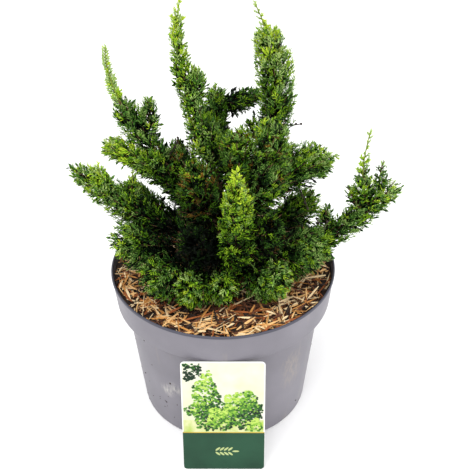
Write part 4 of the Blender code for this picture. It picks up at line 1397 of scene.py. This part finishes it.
    def build(self, plume: Plume) -> int:
        """Build one mass: its sprigs as one piece and its twigs as another.

        Args:
            plume: The mass's plume.

        Returns:
            How many triangles both pieces have.
        """
        name = plume.name
        dress = DRESSES.get(name, PLAIN_DRESS)
        rng = np.random.default_rng([SEED, sum(name.encode())])
        sprays, wood = Joined(), Joined()
        large, small, inner = [], [], []
        for stem in self.crown.stems[name]:
            wood.add(self.stem_form(stem), self.STILL, np.array([[0, 1]]))
            twigs = self.twigs_on(stem, dress, rng)
            for twig in twigs:
                large += self.sprigs_on(twig, rng)
                inner += self.fans_on(twig, rng)
            if stem.whip:
                small += self.whip_sprigs(stem, rng)
            else:
                large.append(self.tip_sprig(stem, self.tip_sprig_drop, self.tip_sprig_length))
            self.add_twigs(name, wood, twigs)
        for forms, sprigs in ((self.sprigs, large), (self.small_sprigs, small), (self.fans, inner)):
            if sprigs:
                self.add_sprigs(name, sprays, forms, sprigs, rng)
        pieces = (settle(sprays.piece("sprays_" + name, self.tones), "foliage", "foliage_" + name),
                  settle(wood.piece("twigs_" + name, self.barks), "bark"))
        return sum(len(piece.data.polygons) for piece in pieces)

    def build_inner(self) -> int:
        """Build the shaded sprays on the boughs and the upper trunk, and return their number of triangles."""
        rng = np.random.default_rng([SEED, 8])
        sprigs = []
        turn = 0.0
        for plume in PLUMES:
            for distance in np.arange(self.inner_from * plume.bare, plume.bare, self.inner_spacing):
                point, forward = self.crown.paths[plume.name].at(float(distance))
                sprigs.append(self.inner_sprig(point, forward, turn, rng))
                turn += GOLDEN_TURN
        for height in np.arange(self.inner_trunk_from, TRUNK_TIP, self.inner_spacing):
            sprigs.append(self.inner_sprig(trunk_point(float(height)), Vector((0, 0, 1)), turn, rng))
            turn += GOLDEN_TURN
        lowest = MULCH_CLEAR + 0.002
        sprigs = [sprig for sprig in sprigs if (sprig.root + sprig.way * sprig.length).z > lowest]
        roots, ways, normals, sizes, levels = columns(sprigs)
        tint = rng.integers(0, 2, len(sprigs))
        sprays = Joined()
        self.deal(sprays, self.sprigs, self.placed(roots, ways, normals, sizes), tint, levels, rng)
        piece = settle(sprays.piece("sprays_inside", self.tones), "foliage")
        return len(piece.data.polygons)


# Bare twigs


@dataclass(frozen=True)
class BareTwig:
    """A dark bare twig with buds that sticks out of a mass. Length in metres, angles in degrees."""

    plume: str
    at: float
    azimuth: float
    slope: float
    length: float


BARE_TWIGS = (
    BareTwig("right_tall", 0.42, 350, 10, 0.028),
    BareTwig("left_tall", 0.34, 5, 62, 0.030),
    BareTwig("left_middle", 0.38, 60, 66, 0.032),
    BareTwig("right_upper", 0.62, 300, -38, 0.038),
    BareTwig("front_right", 0.80, 350, 55, 0.044),
    BareTwig("right_arm", 0.55, 200, 62, 0.029),
)


@dataclass
class BareTwigs:
    """The bare twigs, each a thin bent stem with a bud at its tip and buds on its sides.

    The bends say how far a twig turns round and dips where it leaves, and turns and lifts at its tip.
    """

    crown: Crown
    radius: float = 0.0009
    taper: float = 0.5
    leave_bend: tuple[float, float] = (25, -10)
    tip_bend: tuple[float, float] = (-20, 20)
    bud_radius: float = 0.0013
    bud_shares: tuple[float, ...] = (0.62, 0.80, 1.0)
    bud_offset: float = 0.7
    steps: int = 6

    def build(self) -> bpy.types.Object:
        """Build every bare twig in one piece."""
        gathered = bmesh.new()
        for twig in BARE_TWIGS:
            stem = self.crown.paths[twig.plume]
            root = stem.at(stem.length * twig.at)[0]
            way = heading(twig.azimuth, twig.slope)
            leave, arrive = (heading(twig.azimuth + turn, twig.slope + climb)
                             for turn, climb in (self.leave_bend, self.tip_bend))
            path = Path(root, root + way * twig.length, leave, arrive)
            stations = []
            for index in range(self.steps + 1):
                point, forward = path.at(path.length * index / self.steps)
                half = self.radius * (1.0 - self.taper * index / self.steps)
                stations.append(across(point, forward, forward.orthogonal(), half, half))
            bm = sweep(stations, 5)
            bmesh.ops.recalc_face_normals(bm, faces=bm.faces[:])
            for share in self.bud_shares:
                point, forward = path.at(path.length * share)
                offset = self.bud_offset if share < 1.0 else 0.0
                aside = forward.orthogonal().normalized() * self.bud_radius * offset
                bmesh.ops.create_icosphere(bm, subdivisions=2, radius=self.bud_radius,
                                           matrix=Matrix.Translation(point + aside))
            pour(bm, gathered)
        bark = Bark("dark_bud_bark", srgb(22, 15, 12), srgb(56, 40, 32)).make()
        return settle(piece_of("bare_twigs", gathered, [bark], 60), "bark")


# Trunk and boughs


@dataclass
class Limbs:
    """The trunk and the bare boughs, with the relief of bark that peels in strips.

    COARSE and FINE give how close the ridges stand round a limb and along it.
    """

    COARSE = (3.1, 45.0)
    FINE = (9.0, 110.0)
    FINE_SHARE = 0.45

    crown: Crown
    trunk_sides: int = 40
    trunk_step: float = 0.0022
    bough_sides: int = 14
    bough_step: float = 0.0018
    ridge: float = 0.0007
    bough_ridge: float = 0.45
    collar: float = 0.45
    collar_length: float = 0.0035

    def __post_init__(self) -> None:
        """Make the bark."""
        self.bark = Bark().make()

    def relieve(self, bm: bmesh.types.BMesh, middles: list[Vector], sides: int, ridge: float) -> None:
        """Move the points of a sweep in and out in long ridges.

        Args:
            bm: The sweep, whose points stand ring by ring.
            middles: The middle of each ring.
            sides: The points of a ring.
            ridge: How high a ridge stands.
        """
        bm.verts.ensure_lookup_table()
        for index, vert in enumerate(bm.verts):
            middle = middles[min(index // sides, len(middles) - 1)]
            out = (vert.co - middle).normalized()
            round_by, along_by = self.COARSE
            coarse = Vector((out.x * round_by, out.y * round_by, out.z * round_by + vert.co.z * along_by))
            round_by, along_by = self.FINE
            fine = Vector((out.x * round_by, out.y * round_by, vert.co.z * along_by))
            vert.co += out * ridge * (noise.noise(coarse) + self.FINE_SHARE * noise.noise(fine))

    def build_trunk(self) -> bpy.types.Object:
        """Build the trunk, from its flat cut to its tip under the tallest plume."""
        count = round((TRUNK_TIP - TRUNK_FOOT) / self.trunk_step)
        heights = [TRUNK_FOOT + (TRUNK_TIP - TRUNK_FOOT) * index / count for index in range(count + 1)]
        middles = [trunk_point(height) for height in heights]
        radii = [trunk_radius(height) for height in heights]
        stations = [across(middle, Vector((0, 0, 1)), Vector((1, 0, 0)), radius, radius)
                    for middle, radius in zip(middles, radii)]
        bm = sweep(stations, self.trunk_sides)
        self.relieve(bm, middles, self.trunk_sides, self.ridge)
        bmesh.ops.recalc_face_normals(bm, faces=bm.faces[:])
        return settle(piece_of("trunk_bark", bm, [self.bark], 70), "bark", "trunk")

    def build_boughs(self) -> bpy.types.Object:
        """Build every bough in one piece, each with a collar where it meets the trunk."""
        gathered = bmesh.new()
        nodes = []
        for plume in PLUMES:
            if not plume.bare:
                continue
            nodes.append("bough_" + plume.name)
            path = self.crown.paths[plume.name]
            count = round(plume.bare / self.bough_step)
            stations, middles = [], []
            for index in range(count + 1):
                distance = plume.bare * index / count
                point, forward = path.at(distance)
                radius = bough_radius(distance, plume.bare)
                radius *= 1 + self.collar * math.exp(-distance / self.collar_length)
                middles.append(point)
                stations.append(across(point, forward, heading(plume.azimuth + 90, 0), radius, radius))
            bm = sweep(stations, self.bough_sides)
            self.relieve(bm, middles, self.bough_sides, self.ridge * self.bough_ridge)
            bmesh.ops.recalc_face_normals(bm, faces=bm.faces[:])
            pour(bm, gathered)
        return settle(piece_of("bough_bark", gathered, [self.bark], 70), "bark", *nodes)


# Pot and its filling


@dataclass
class Pot:
    """The nursery pot: a turned shell with a deep band, a rolled lip, a foot ring and drain holes."""

    steps: int = 144
    foot_ring: float = 0.0098
    foot_rise: float = 0.0012
    lip_step: float = 0.0005
    lip_height: float = 0.0032
    lip_out: float = 0.0008
    hole_count: int = 6
    hole_radius: float = 0.005
    hole_ring: float = 0.066
    speck_count: int = 46
    speck_depth: float = 0.35

    def profile(self) -> list[tuple[float, float]]:
        """Return the shell's profile, from the middle of its underside round to the middle of its floor."""
        band_foot = POT_HEIGHT - BAND_DEPTH
        lip_foot = POT_HEIGHT - self.lip_height
        return rounded([
            (0.0, self.foot_rise, 0.0),
            (FOOT_RADIUS - self.foot_ring - self.foot_rise, self.foot_rise, 0.0006),
            (FOOT_RADIUS - self.foot_ring, 0.0, 0.0006),
            (FOOT_RADIUS, 0.0, 0.0020),
            (BODY_TOP_RADIUS, band_foot, 0.0012),
            (BAND_FOOT_RADIUS, band_foot, 0.0012),
            (RIM_RADIUS - self.lip_out, lip_foot, 0.0004),
            (RIM_RADIUS, lip_foot + self.lip_step, 0.0005),
            (RIM_RADIUS, POT_HEIGHT, 0.0009),
            (RIM_RADIUS - WALL, POT_HEIGHT, 0.0008),
            (BAND_FOOT_RADIUS - WALL, band_foot + WALL, 0.0008),
            (BODY_TOP_RADIUS - WALL, band_foot + WALL, 0.0008),
            (FOOT_RADIUS - WALL, FLOOR, 0.0015),
            (0.0, FLOOR, 0.0),
        ])

    def build(self) -> None:
        """Build the shell with its holes, and the soil specks on its side."""
        plastic = PotPlastic().make()
        shell = piece_of("pot_shell", turned(self.profile(), self.steps), [plastic], 32)
        drill = bmesh.new()
        for index in range(self.hole_count):
            turn = Matrix.Rotation(math.tau * index / self.hole_count, 4, "Z")
            place = turn @ Matrix.Translation((self.hole_ring, 0.0, FLOOR / 2))
            bmesh.ops.create_cone(drill, cap_ends=True, segments=24, radius1=self.hole_radius,
                                  radius2=self.hole_radius, depth=4 * FLOOR, matrix=place)
        cutter = piece_of("pot_drill", drill, [plastic])
        cut = shell.modifiers.new("drain_holes", "BOOLEAN")
        cut.operation = "DIFFERENCE"
        cut.object = cutter
        with bpy.context.temp_override(object=shell):
            bpy.ops.object.modifier_apply(modifier=cut.name)
        bpy.data.objects.remove(cutter, do_unlink=True)
        settle(shell, "pot_plastic", "pot")
        self.build_specks()

    def side_radius(self, height: float) -> float:
        """Return the outer radius of the body below the band."""
        share = height / (POT_HEIGHT - BAND_DEPTH)
        return FOOT_RADIUS + (BODY_TOP_RADIUS - FOOT_RADIUS) * share

    def speck_place(self, rng: np.random.Generator) -> np.ndarray:
        """Return a random place matrix for a flat crumb on the pot's side, most often low on the left."""
        azimuth = rng.normal(-2.25, 0.45) if rng.random() < 0.7 else rng.uniform(-math.pi, math.pi)
        height = rng.uniform(0.004, 0.060) if rng.random() < 0.75 else rng.uniform(0.060, 0.120)
        size = rng.uniform(0.0005, 0.0013)
        out = np.array((math.cos(azimuth), math.sin(azimuth), 0.0))
        side = np.array((-out[1], out[0], 0.0))
        tall = np.array((0, 0, size * rng.uniform(0.6, 1.3)))
        place = out * (self.side_radius(height) + 0.00003) + np.array((0, 0, height))
        return np.stack((side * size, tall, out * size * self.speck_depth, place), axis=1)

    def build_specks(self) -> None:
        """Build the crumbs of soil that cling to the pot's side."""
        rng = np.random.default_rng([SEED, 3])
        bm = bmesh.new()
        bmesh.ops.create_icosphere(bm, subdivisions=1, radius=1.0)
        crumb = Pattern.of(bm)
        places = np.array([self.speck_place(rng) for _index in range(self.speck_count)])
        specks = Joined()
        specks.add(crumb, places, np.zeros((len(places), 1), int))
        settle(specks.piece("pot_specks", [Soil("speck_soil").make()]), "growing_medium")


@dataclass
class Mulch:
    """Wood shreds heaped over dark soil.

    Shreds that lie below sunk_below of the heap, under the shreds above, are mostly of the two darkest kinds
    as painted shade, and some of those within shade_radius, under the crown, are of the three darkest as
    the crown's painted shadow. The bed's waves are pairs of a height and how close they stand.
    """

    shred_count: int = 3000
    crumb_count: int = 900
    outer_radius: float = 0.1105
    wall_rise: float = 0.0030
    inner_radius: float = 0.015
    bed_drop: float = 0.0018
    bed_waves: tuple[tuple[float, float], ...] = ((0.0012, 70), (0.0008, 210))
    bed_rings: int = 26
    bed_reach: float = 0.0024
    heap: float = 0.0044
    heap_wave: float = 0.0016
    sunk: float = 0.001
    # Painted shade: shreds low in the heap take darker woods
    sunk_below: float = 0.38
    sunk_share: float = 0.9
    # Painted shadow of the crown: shreds under it take darker woods
    shade_radius: float = 0.080
    shade_share: float = 0.35
    form_count: int = 9

    SHREDS = (
        WoodShred("pale_shred", srgb(255, 226, 176)),
        WoodShred("tan_shred", srgb(242, 192, 126)),
        WoodShred("golden_shred", srgb(216, 150, 76)),
        WoodShred("orange_shred", srgb(164, 90, 38)),
        WoodShred("brown_shred", srgb(100, 56, 28)),
        WoodShred("dark_shred", srgb(40, 24, 14)),
    )
    SHARES = (0.26, 0.24, 0.18, 0.13, 0.10, 0.09)

    def shred_form(self, seed: int) -> Pattern:
        """Return one torn shred of unit length, width and thickness as a pattern."""
        rng = np.random.default_rng([SEED, 40, seed])
        bow = rng.uniform(-0.10, 0.14)
        twist = rng.uniform(-0.5, 0.5)
        drift = rng.uniform(-0.25, 0.25)
        stations = []
        widths = [rng.uniform(*limits) for limits in ((0.15, 0.6), (0.85, 1.1), (0.7, 1.0), (0.10, 0.5))]
        for index, width in enumerate(widths):
            share = index / (len(widths) - 1)
            middle = Vector((share - 0.5, drift * 0.3 * math.sin(math.pi * share),
                             bow * (2 * share - 1) ** 2))
            turn = Matrix.Rotation(math.pi / 4, 3, "X") @ Vector((0, 1, 0))
            side = Matrix.Rotation(twist * share, 3, "X") @ turn
            stations.append(across(middle, Vector((1, 0, 0)), side, 0.7 * width, 0.7 * width))
        bm = sweep(stations, 4)
        layer = bm.loops.layers.uv.new("grain")
        for face in bm.faces:
            for loop in face.loops:
                loop[layer].uv = (loop.vert.co.x + 0.37 * seed, loop.vert.co.y + loop.vert.co.z + 0.21 * seed)
        return Pattern.of(bm)

    def surface(self, x: float, y: float) -> float:
        """Return the height of the heap at a place, which rises towards the pot's wall."""
        wave = self.heap_wave * noise.noise(Vector((x * 38, y * 38, 1.7)))
        return MULCH_TOP + self.rise(math.hypot(x, y)) + wave

    def rise(self, radius: float) -> float:
        """Return how much higher the heap is at a radius than in its middle."""
        return self.wall_rise * (radius / self.outer_radius) ** 5

    def build_bed(self) -> None:
        """Build the dark bed under the shreds."""
        edge = BAND_FOOT_RADIUS - WALL + self.bed_reach
        rings = [self.inner_radius + (edge - self.inner_radius) * index / self.bed_rings
                 for index in range(self.bed_rings + 1)]
        profile = [(self.inner_radius, SOIL_TOP + GAP)]
        profile += [(radius, MULCH_TOP - self.bed_drop) for radius in rings]
        profile += [(edge - 0.0012, SOIL_TOP + GAP), (self.inner_radius, SOIL_TOP + GAP)]
        bm = turned(profile, 96)
        for vert in bm.verts:
            if vert.co.z > SOIL_TOP + 0.002:
                vert.co.z += self.rise(vert.co.xy.length)
                vert.co.z += sum(height * noise.noise(vert.co * scale) for height, scale in self.bed_waves)
        settle(piece_of("mulch_bed", bm, [Soil().make()], 80), "growing_medium", "mulch")

    def scatter(self, count: int, lengths: tuple[float, float], widths: tuple[float, float], heap: float,
                rng: np.random.Generator) -> np.ndarray:
        """Lay shreds at random inside the rim and clear of the trunk.

        Args:
            count: How many to lay.
            lengths: Their shortest and longest length.
            widths: Their narrowest and widest width.
            heap: How high they are heaped.
            rng: Random numbers.

        Returns:
            Their place matrices.
        """
        places = []
        while len(places) < count:
            radius = self.outer_radius * math.sqrt(rng.random())
            azimuth, turn = rng.uniform(0, math.tau), rng.uniform(0, math.tau)
            length = lengths[0] + (lengths[1] - lengths[0]) * rng.random() ** 2.2
            width = rng.uniform(*widths)
            x, y = radius * math.cos(azimuth), radius * math.sin(azimuth)
            pitch = math.radians(rng.normal(0, 13))
            roll = math.radians(rng.uniform(-45, 45))
            way = Vector((math.cos(turn) * math.cos(pitch), math.sin(turn) * math.cos(pitch),
                          math.sin(pitch)))
            ends = [Vector((x, y, 0)) + way * (0.5 * length * hand) for hand in (-1, 1)]
            if any(not self.inner_radius < end.xy.length < self.outer_radius + 0.0012 for end in ends):
                continue
            layer = rng.random() ** 1.3
            z = self.surface(x, y) - self.sunk + heap * layer
            side = Vector((-math.sin(turn), math.cos(turn), 0))
            up = way.cross(side)
            wide = side * math.cos(roll) + up * math.sin(roll)
            deep = way.cross(wide)
            thick = width * rng.uniform(0.28, 0.5)
            axes = (way[:], wide[:], deep[:], (x, y, z))
            places.append(np.array(axes).T * (length, width, thick, 1.0))
        return np.array(places)

    def build(self) -> None:
        """Build the bed and the shreds on it."""
        self.build_bed()
        rng = np.random.default_rng([SEED, 4])
        forms = [self.shred_form(seed) for seed in range(self.form_count)]
        shreds = Joined()
        kinds = ((self.shred_count, (0.009, 0.034), (0.0008, 0.0027), self.heap),
                 (self.crumb_count, (0.002, 0.008), (0.0005, 0.0015), self.heap * 0.8))
        for count, lengths, widths, heap in kinds:
            places = self.scatter(count, lengths, widths, heap, rng)
            lift = (places[:, 2, 3] - MULCH_TOP) / heap
            picks = rng.integers(0, len(forms), count)
            slots = rng.choice(len(self.SHREDS), count, p=self.SHARES)
            # Shreds low in the heap get the darkest woods: painted shade under the shreds above
            sunk = (lift < self.sunk_below) & (rng.random(count) < self.sunk_share)
            slots = np.where(sunk, 4 + (slots % 2), slots)
            # Some shreds under the crown get darker woods: the crown's painted shadow
            under = np.hypot(places[:, 0, 3], places[:, 1, 3]) < self.shade_radius
            slots = np.where(under & (rng.random(count) < self.shade_share), 3 + (slots % 3), slots)
            for index, form in enumerate(forms):
                chosen = picks == index
                shreds.add(form, places[chosen], slots[chosen][:, None])
        woods = [finish.make() for finish in self.SHREDS]
        settle(shreds.piece("mulch_shreds", woods, smooth=False), "bark_mulch", "mulch")


# Picture card


@dataclass(frozen=True)
class Bush:
    """A bush of leaf dots: its middle across the card and above the lawn, its half sizes, dots and light."""

    x: float
    rise: float
    half_width: float
    half_height: float
    count: int
    seed: int
    light: float


BUSHES = (
    Bush(-0.0370, 0.0773, 0.0170, 0.0150, 300, 4, -0.30),
    Bush(0.0, 0.0270, 0.0420, 0.0120, 460, 5, -0.25),
    Bush(-0.0170, 0.0370, 0.0130, 0.0350, 560, 1, 0.0),
    Bush(0.0190, 0.0270, 0.0190, 0.0240, 620, 2, 0.0),
    Bush(-0.0010, 0.0170, 0.0150, 0.0150, 340, 3, 0.10),
    Bush(0.0330, 0.0080, 0.0100, 0.0090, 120, 6, 0.25),
)
LEAF_INKS = (srgb(12, 40, 18), srgb(30, 76, 26), srgb(72, 124, 34), srgb(122, 168, 50), srgb(170, 198, 88))


@dataclass
class PictureCard:
    """A printed plastic card that leans on the pot's band, with a plain garden picture of its own.

    The fields of colour leave a margin of white at the sky and a bleed of white at the green panel. The
    line between them reaches line_down below and line_up above the picture's foot.
    """

    width: float = 0.082
    length: float = 0.1335
    thickness: float = 0.0007
    corner: float = 0.004
    centre_x: float = -0.0022
    turn: float = math.radians(-1.5)
    rest: float = 0.0014
    picture_foot: float = 0.0475
    margin: float = 0.0012
    bleed: float = 0.0002
    line_down: float = 0.0004
    line_up: float = 0.0007
    lawn: float = 0.0150
    ink: float = 0.00006
    sprig_foot: tuple[float, float] = (0.0085, 0.0235)
    sprig_pairs: int = 4
    sprig_step: float = 0.0042
    sprig_gap: float = 0.0009
    sprig_spread: float = 42.0
    leaf_length: float = 0.0062
    tip_leaf_length: float = 0.0070
    leaf_half_width: float = 0.0011

    def __post_init__(self) -> None:
        """Work out where the card stands."""
        band_slope = (RIM_RADIUS - BAND_FOOT_RADIUS) / BAND_DEPTH
        top_y = -(BAND_FOOT_RADIUS + band_slope * self.rest + GAP)
        lean = math.acos((POT_HEIGHT - BAND_DEPTH + self.rest) / self.length)
        place = Matrix.Translation((self.centre_x, top_y - self.length * math.sin(lean),
                                    self.thickness * math.sin(lean)))
        self.place = place @ Matrix.Rotation(self.turn, 4, "Z") @ Matrix.Rotation(-lean, 4, "X")

    def plate(self, left: float, right: float, foot: float, top: float, front: float, thickness: float,
              corners: dict[tuple[int, int], float]) -> bmesh.types.BMesh:
        """Build an upright plate with some corners rounded.

        Args:
            left: Its left edge.
            right: Its right edge.
            foot: Its lower edge.
            top: Its upper edge.
            front: How far its front face stands before the card's back.
            thickness: Its thickness.
            corners: The radius of each rounded corner, by the signs of its side and height.

        Returns:
            The plate in the card's own frame.
        """
        bm = bmesh.new()
        bmesh.ops.create_cube(bm, size=1.0)
        bmesh.ops.scale(bm, vec=(right - left, thickness, top - foot), verts=bm.verts[:])
        for (side, height), radius in corners.items():
            edges = [edge for edge in bm.edges
                     if all(vert.co.x * side > 0 and vert.co.z * height > 0 for vert in edge.verts)
                     and abs(edge.verts[0].co.y - edge.verts[1].co.y) > thickness / 2
                     and all(abs(abs(vert.co.x) - (right - left) / 2) < 1e-6 for vert in edge.verts)]
            bmesh.ops.bevel(bm, geom=edges, offset=radius, affect="EDGES", segments=8, profile=0.5,
                            material=-1)
        middle = Vector(((left + right) / 2, -front + thickness / 2, (foot + top) / 2))
        bmesh.ops.translate(bm, vec=middle, verts=bm.verts[:])
        return bm

    def stand(self, name: str, bm: bmesh.types.BMesh, finish: CardInk, *nodes: str) -> None:
        """Set a shape of the card's own frame in its place as a piece that stands for nodes."""
        bmesh.ops.transform(bm, matrix=self.place, verts=bm.verts[:])
        settle(piece_of(name, bm, [finish.make()]), "card", *nodes)

    def build(self) -> None:
        """Build the card, its fields of colour and its picture."""
        half = self.width / 2
        edge, panel = half - self.margin, half - self.bleed
        front = self.thickness + self.ink
        corners = {(side, height): self.corner for side in (-1, 1) for height in (-1, 1)}
        board = self.plate(-half, half, 0.0, self.length, self.thickness, self.thickness, corners)
        self.stand("card_board", board, CardInk("card_white", srgb(226, 228, 222), srgb(218, 220, 214)),
                   "picture_card")
        foot, top = self.picture_foot, self.length - self.margin
        corners = {(side, 1): self.corner - self.margin for side in (-1, 1)}
        self.stand("card_sky", self.plate(-edge, edge, foot, top, front, self.ink, corners),
                   CardInk("card_pale_sky", srgb(212, 211, 196), srgb(200, 206, 172), 40.0))
        corners = {(side, -1): self.corner - self.bleed for side in (-1, 1)}
        self.stand("card_green_field", self.plate(-panel, panel, self.bleed, foot, front, self.ink, corners),
                   CardInk("card_dark_green", srgb(17, 56, 37), srgb(27, 70, 48), 24.0))
        line = self.plate(-panel, panel, foot - self.line_down, foot + self.line_up, front + self.ink,
                          self.ink, {})
        self.stand("card_gold_line", line, CardInk("card_gold_ink", srgb(186, 158, 60), srgb(170, 142, 48)))
        self.build_garden(front + self.ink)
        self.build_sprig(front + self.ink)

    @staticmethod
    def leaf_dots(bush: Bush, foot: float) -> list[tuple[float, float, float, float]]:
        """Scatter leaf dots over a bush on a lawn whose foot is that far up the card.

        Args:
            bush: The bush.
            foot: The lawn's foot.

        Returns:
            For each dot its place across and up, its size and how light it is from 0 to 1.
        """
        rng = np.random.default_rng([SEED, 60, bush.seed])
        dots = []
        for _index in range(bush.count):
            angle = rng.uniform(0, math.tau)
            share = math.sqrt(rng.random())
            ragged = 1.0 + 0.10 * math.sin(5 * angle + bush.seed) + 0.06 * math.sin(11 * angle)
            x, z = math.cos(angle) * share * ragged, math.sin(angle) * share * ragged
            light = 0.5 + bush.light + 0.30 * z - 0.22 * x + rng.normal(0, 0.2)
            dots.append((bush.x + x * bush.half_width, foot + bush.rise + z * bush.half_height,
                         rng.uniform(0.0009, 0.0019), light))
        return dots

    def build_garden(self, front: float) -> None:
        """Build the picture of bushes, each before the last, on a lawn, that far before the card's back."""
        foot = self.picture_foot + self.line_up
        edge = self.width / 2 - self.margin
        self.stand("card_lawn", self.plate(-edge, edge, foot, foot + self.lawn, front, self.ink, {}),
                   CardInk("card_lawn_ink", srgb(200, 202, 152), srgb(164, 184, 92), 90.0))
        dots = [dot for bush in BUSHES for dot in self.leaf_dots(bush, foot)]
        bm = bmesh.new()
        bmesh.ops.create_cone(bm, cap_ends=True, segments=5, radius1=1.0, radius2=1.0, depth=1.0,
                              matrix=Matrix.Rotation(math.pi / 2, 4, "X"))
        turn = np.array(self.place.to_3x3())
        places, slots = [], []
        for order, (x, z, size, light) in enumerate(dots):
            if abs(x) > edge - size or z < foot + size or z > self.length - self.margin - size:
                continue
            depth = front + self.ink * (1.0 + 1.6 * order / len(dots))
            axes = turn * np.array((size, self.ink, size * 0.8))
            centre = self.place @ Vector((x, -depth, z))
            places.append(np.concatenate((axes, np.array(centre)[:, None]), axis=1))
            slots.append([int(np.clip(light * len(LEAF_INKS), 0, len(LEAF_INKS) - 1))])
        inks = [PlainFinish(f"card_leaf_{index}", ink, 0.40, 0.25) for index, ink in enumerate(LEAF_INKS)]
        picture = Joined()
        picture.add(Pattern.of(bm), np.array(places), np.array(slots))
        settle(picture.piece("card_bushes", [ink.make() for ink in inks], smooth=False), "card")

    def build_sprig(self, front: float) -> None:
        """Build the small leaf sprig on the green field, that far before the card's back."""
        bm = bmesh.new()
        foot, height = self.sprig_foot
        leaves = [(foot, height, 0.0, self.tip_leaf_length)]
        for pair in range(1, self.sprig_pairs + 1):
            leaves += [(foot - self.sprig_step * pair, height + hand * self.sprig_gap,
                        hand * self.sprig_spread, self.leaf_length) for hand in (-1, 1)]
        for x, z, angle, length in leaves:
            size = Matrix.Diagonal((length / 2, self.ink, self.leaf_half_width, 1.0))
            place = (Matrix.Translation((x, -front, z)) @ Matrix.Rotation(math.radians(-angle), 4, "Y")
                     @ Matrix.Translation((length / 2, 0, 0)) @ size @ Matrix.Rotation(math.pi / 2, 4, "X"))
            bmesh.ops.create_cone(bm, cap_ends=True, segments=16, radius1=1.0, radius2=1.0, depth=1.0,
                                  matrix=place)
        self.stand("card_sprig", bm, CardInk("card_sprig_ink", srgb(176, 188, 132), srgb(160, 174, 112)))


# Studio


@dataclass
class Studio:
    """A pale floor, soft light from the upper left, and the camera of the photograph's view."""

    elevation: float = 37.1
    distance: float = 0.973
    pitch: float = 1.7
    yaw: float = -0.75
    roll: float = 0.9
    field_of_view: float = 28.0
    floor_size: float = 6.0
    sky_strength: float = 1.1

    AIM = Vector((0, 0, 0.2))

    def build_camera(self) -> None:
        """Set the camera where the photograph was taken from, aimed past the middle of the rim."""
        climb = math.radians(self.elevation)
        away = Vector((0, -self.distance * math.cos(climb), self.distance * math.sin(climb)))
        forward = (-away).normalized()
        right = forward.cross(Vector((0, 0, 1))).normalized()
        up = right.cross(forward)
        yaw = Matrix.Rotation(math.radians(self.yaw), 3, up)
        forward, right = yaw @ forward, yaw @ right
        pitch = Matrix.Rotation(math.radians(self.pitch), 3, right)
        forward, up = pitch @ forward, pitch @ up
        roll = Matrix.Rotation(math.radians(self.roll), 3, forward)
        right, up = roll @ right, roll @ up
        lens = bpy.data.cameras.new("photo_view")
        lens.angle = math.radians(self.field_of_view)
        place = Matrix((right, up, -forward)).transposed().to_4x4()
        place.translation = away + Vector((0, 0, POT_HEIGHT))
        camera = linked("photo_view", lens)
        camera.matrix_world = place
        bpy.context.scene.camera = camera

    def build_light(self, name: str, place: Vector, size: float, watts: float) -> None:
        """Hang one square soft box.

        Args:
            name: Its name.
            place: Where it hangs, aimed at the plant.
            size: The length of its side.
            watts: Its power.
        """
        lamp = bpy.data.lights.new(name, "AREA")
        lamp.size = size
        lamp.energy = watts
        box = linked(name, lamp)
        box.location = place
        box.rotation_euler = (self.AIM - place).to_track_quat("-Z", "Y").to_euler()

    def build(self) -> None:
        """Build the floor, the lights and the camera."""
        bm = bmesh.new()
        bmesh.ops.create_grid(bm, x_segments=1, y_segments=1, size=self.floor_size / 2)
        floor = piece_of("studio_floor", bm, [PlainFinish("white_floor", (0.93, 0.93, 0.93), 0.9).make()])
        world = bpy.data.worlds.new("soft_studio")
        world.use_nodes = True
        sky = world.node_tree.nodes["Background"]
        sky.inputs["Color"].default_value = (1.0, 1.0, 1.0, 1.0)
        sky.inputs["Strength"].default_value = self.sky_strength
        bpy.context.scene.world = world
        self.build_light("key_box", Vector((-0.7, -0.9, 2.0)), 1.6, 30.0)
        self.build_light("fill_box", Vector((1.3, -0.7, 1.1)), 1.4, 12.0)
        bpy.context.scene.view_settings.view_transform = "Standard"
        self.build_camera()


def finish_hidden_solids() -> None:
    """Give the growing medium, which stays as the solids have it, its soil."""
    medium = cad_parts["growing_medium"]
    for slot in medium.material_slots:
        slot.material = Soil("pot_soil").make()


def main() -> None:
    """Build every piece and the studio round them."""
    logging.basicConfig(level=logging.INFO, format="%(name)s: %(message)s", stream=sys.stdout)
    crown = Crown()
    Pot().build()
    Mulch().build()
    PictureCard().build()
    limbs = Limbs(crown)
    limbs.build_trunk()
    limbs.build_boughs()
    BareTwigs(crown).build()
    foliage = Foliage(crown)
    total = foliage.build_inner() + sum(foliage.build(plume) for plume in PLUMES)
    LOG.info("foliage and twigs: %d triangles", total)
    finish_hidden_solids()
    Studio().build()


if __name__ == "__main__":
    main()
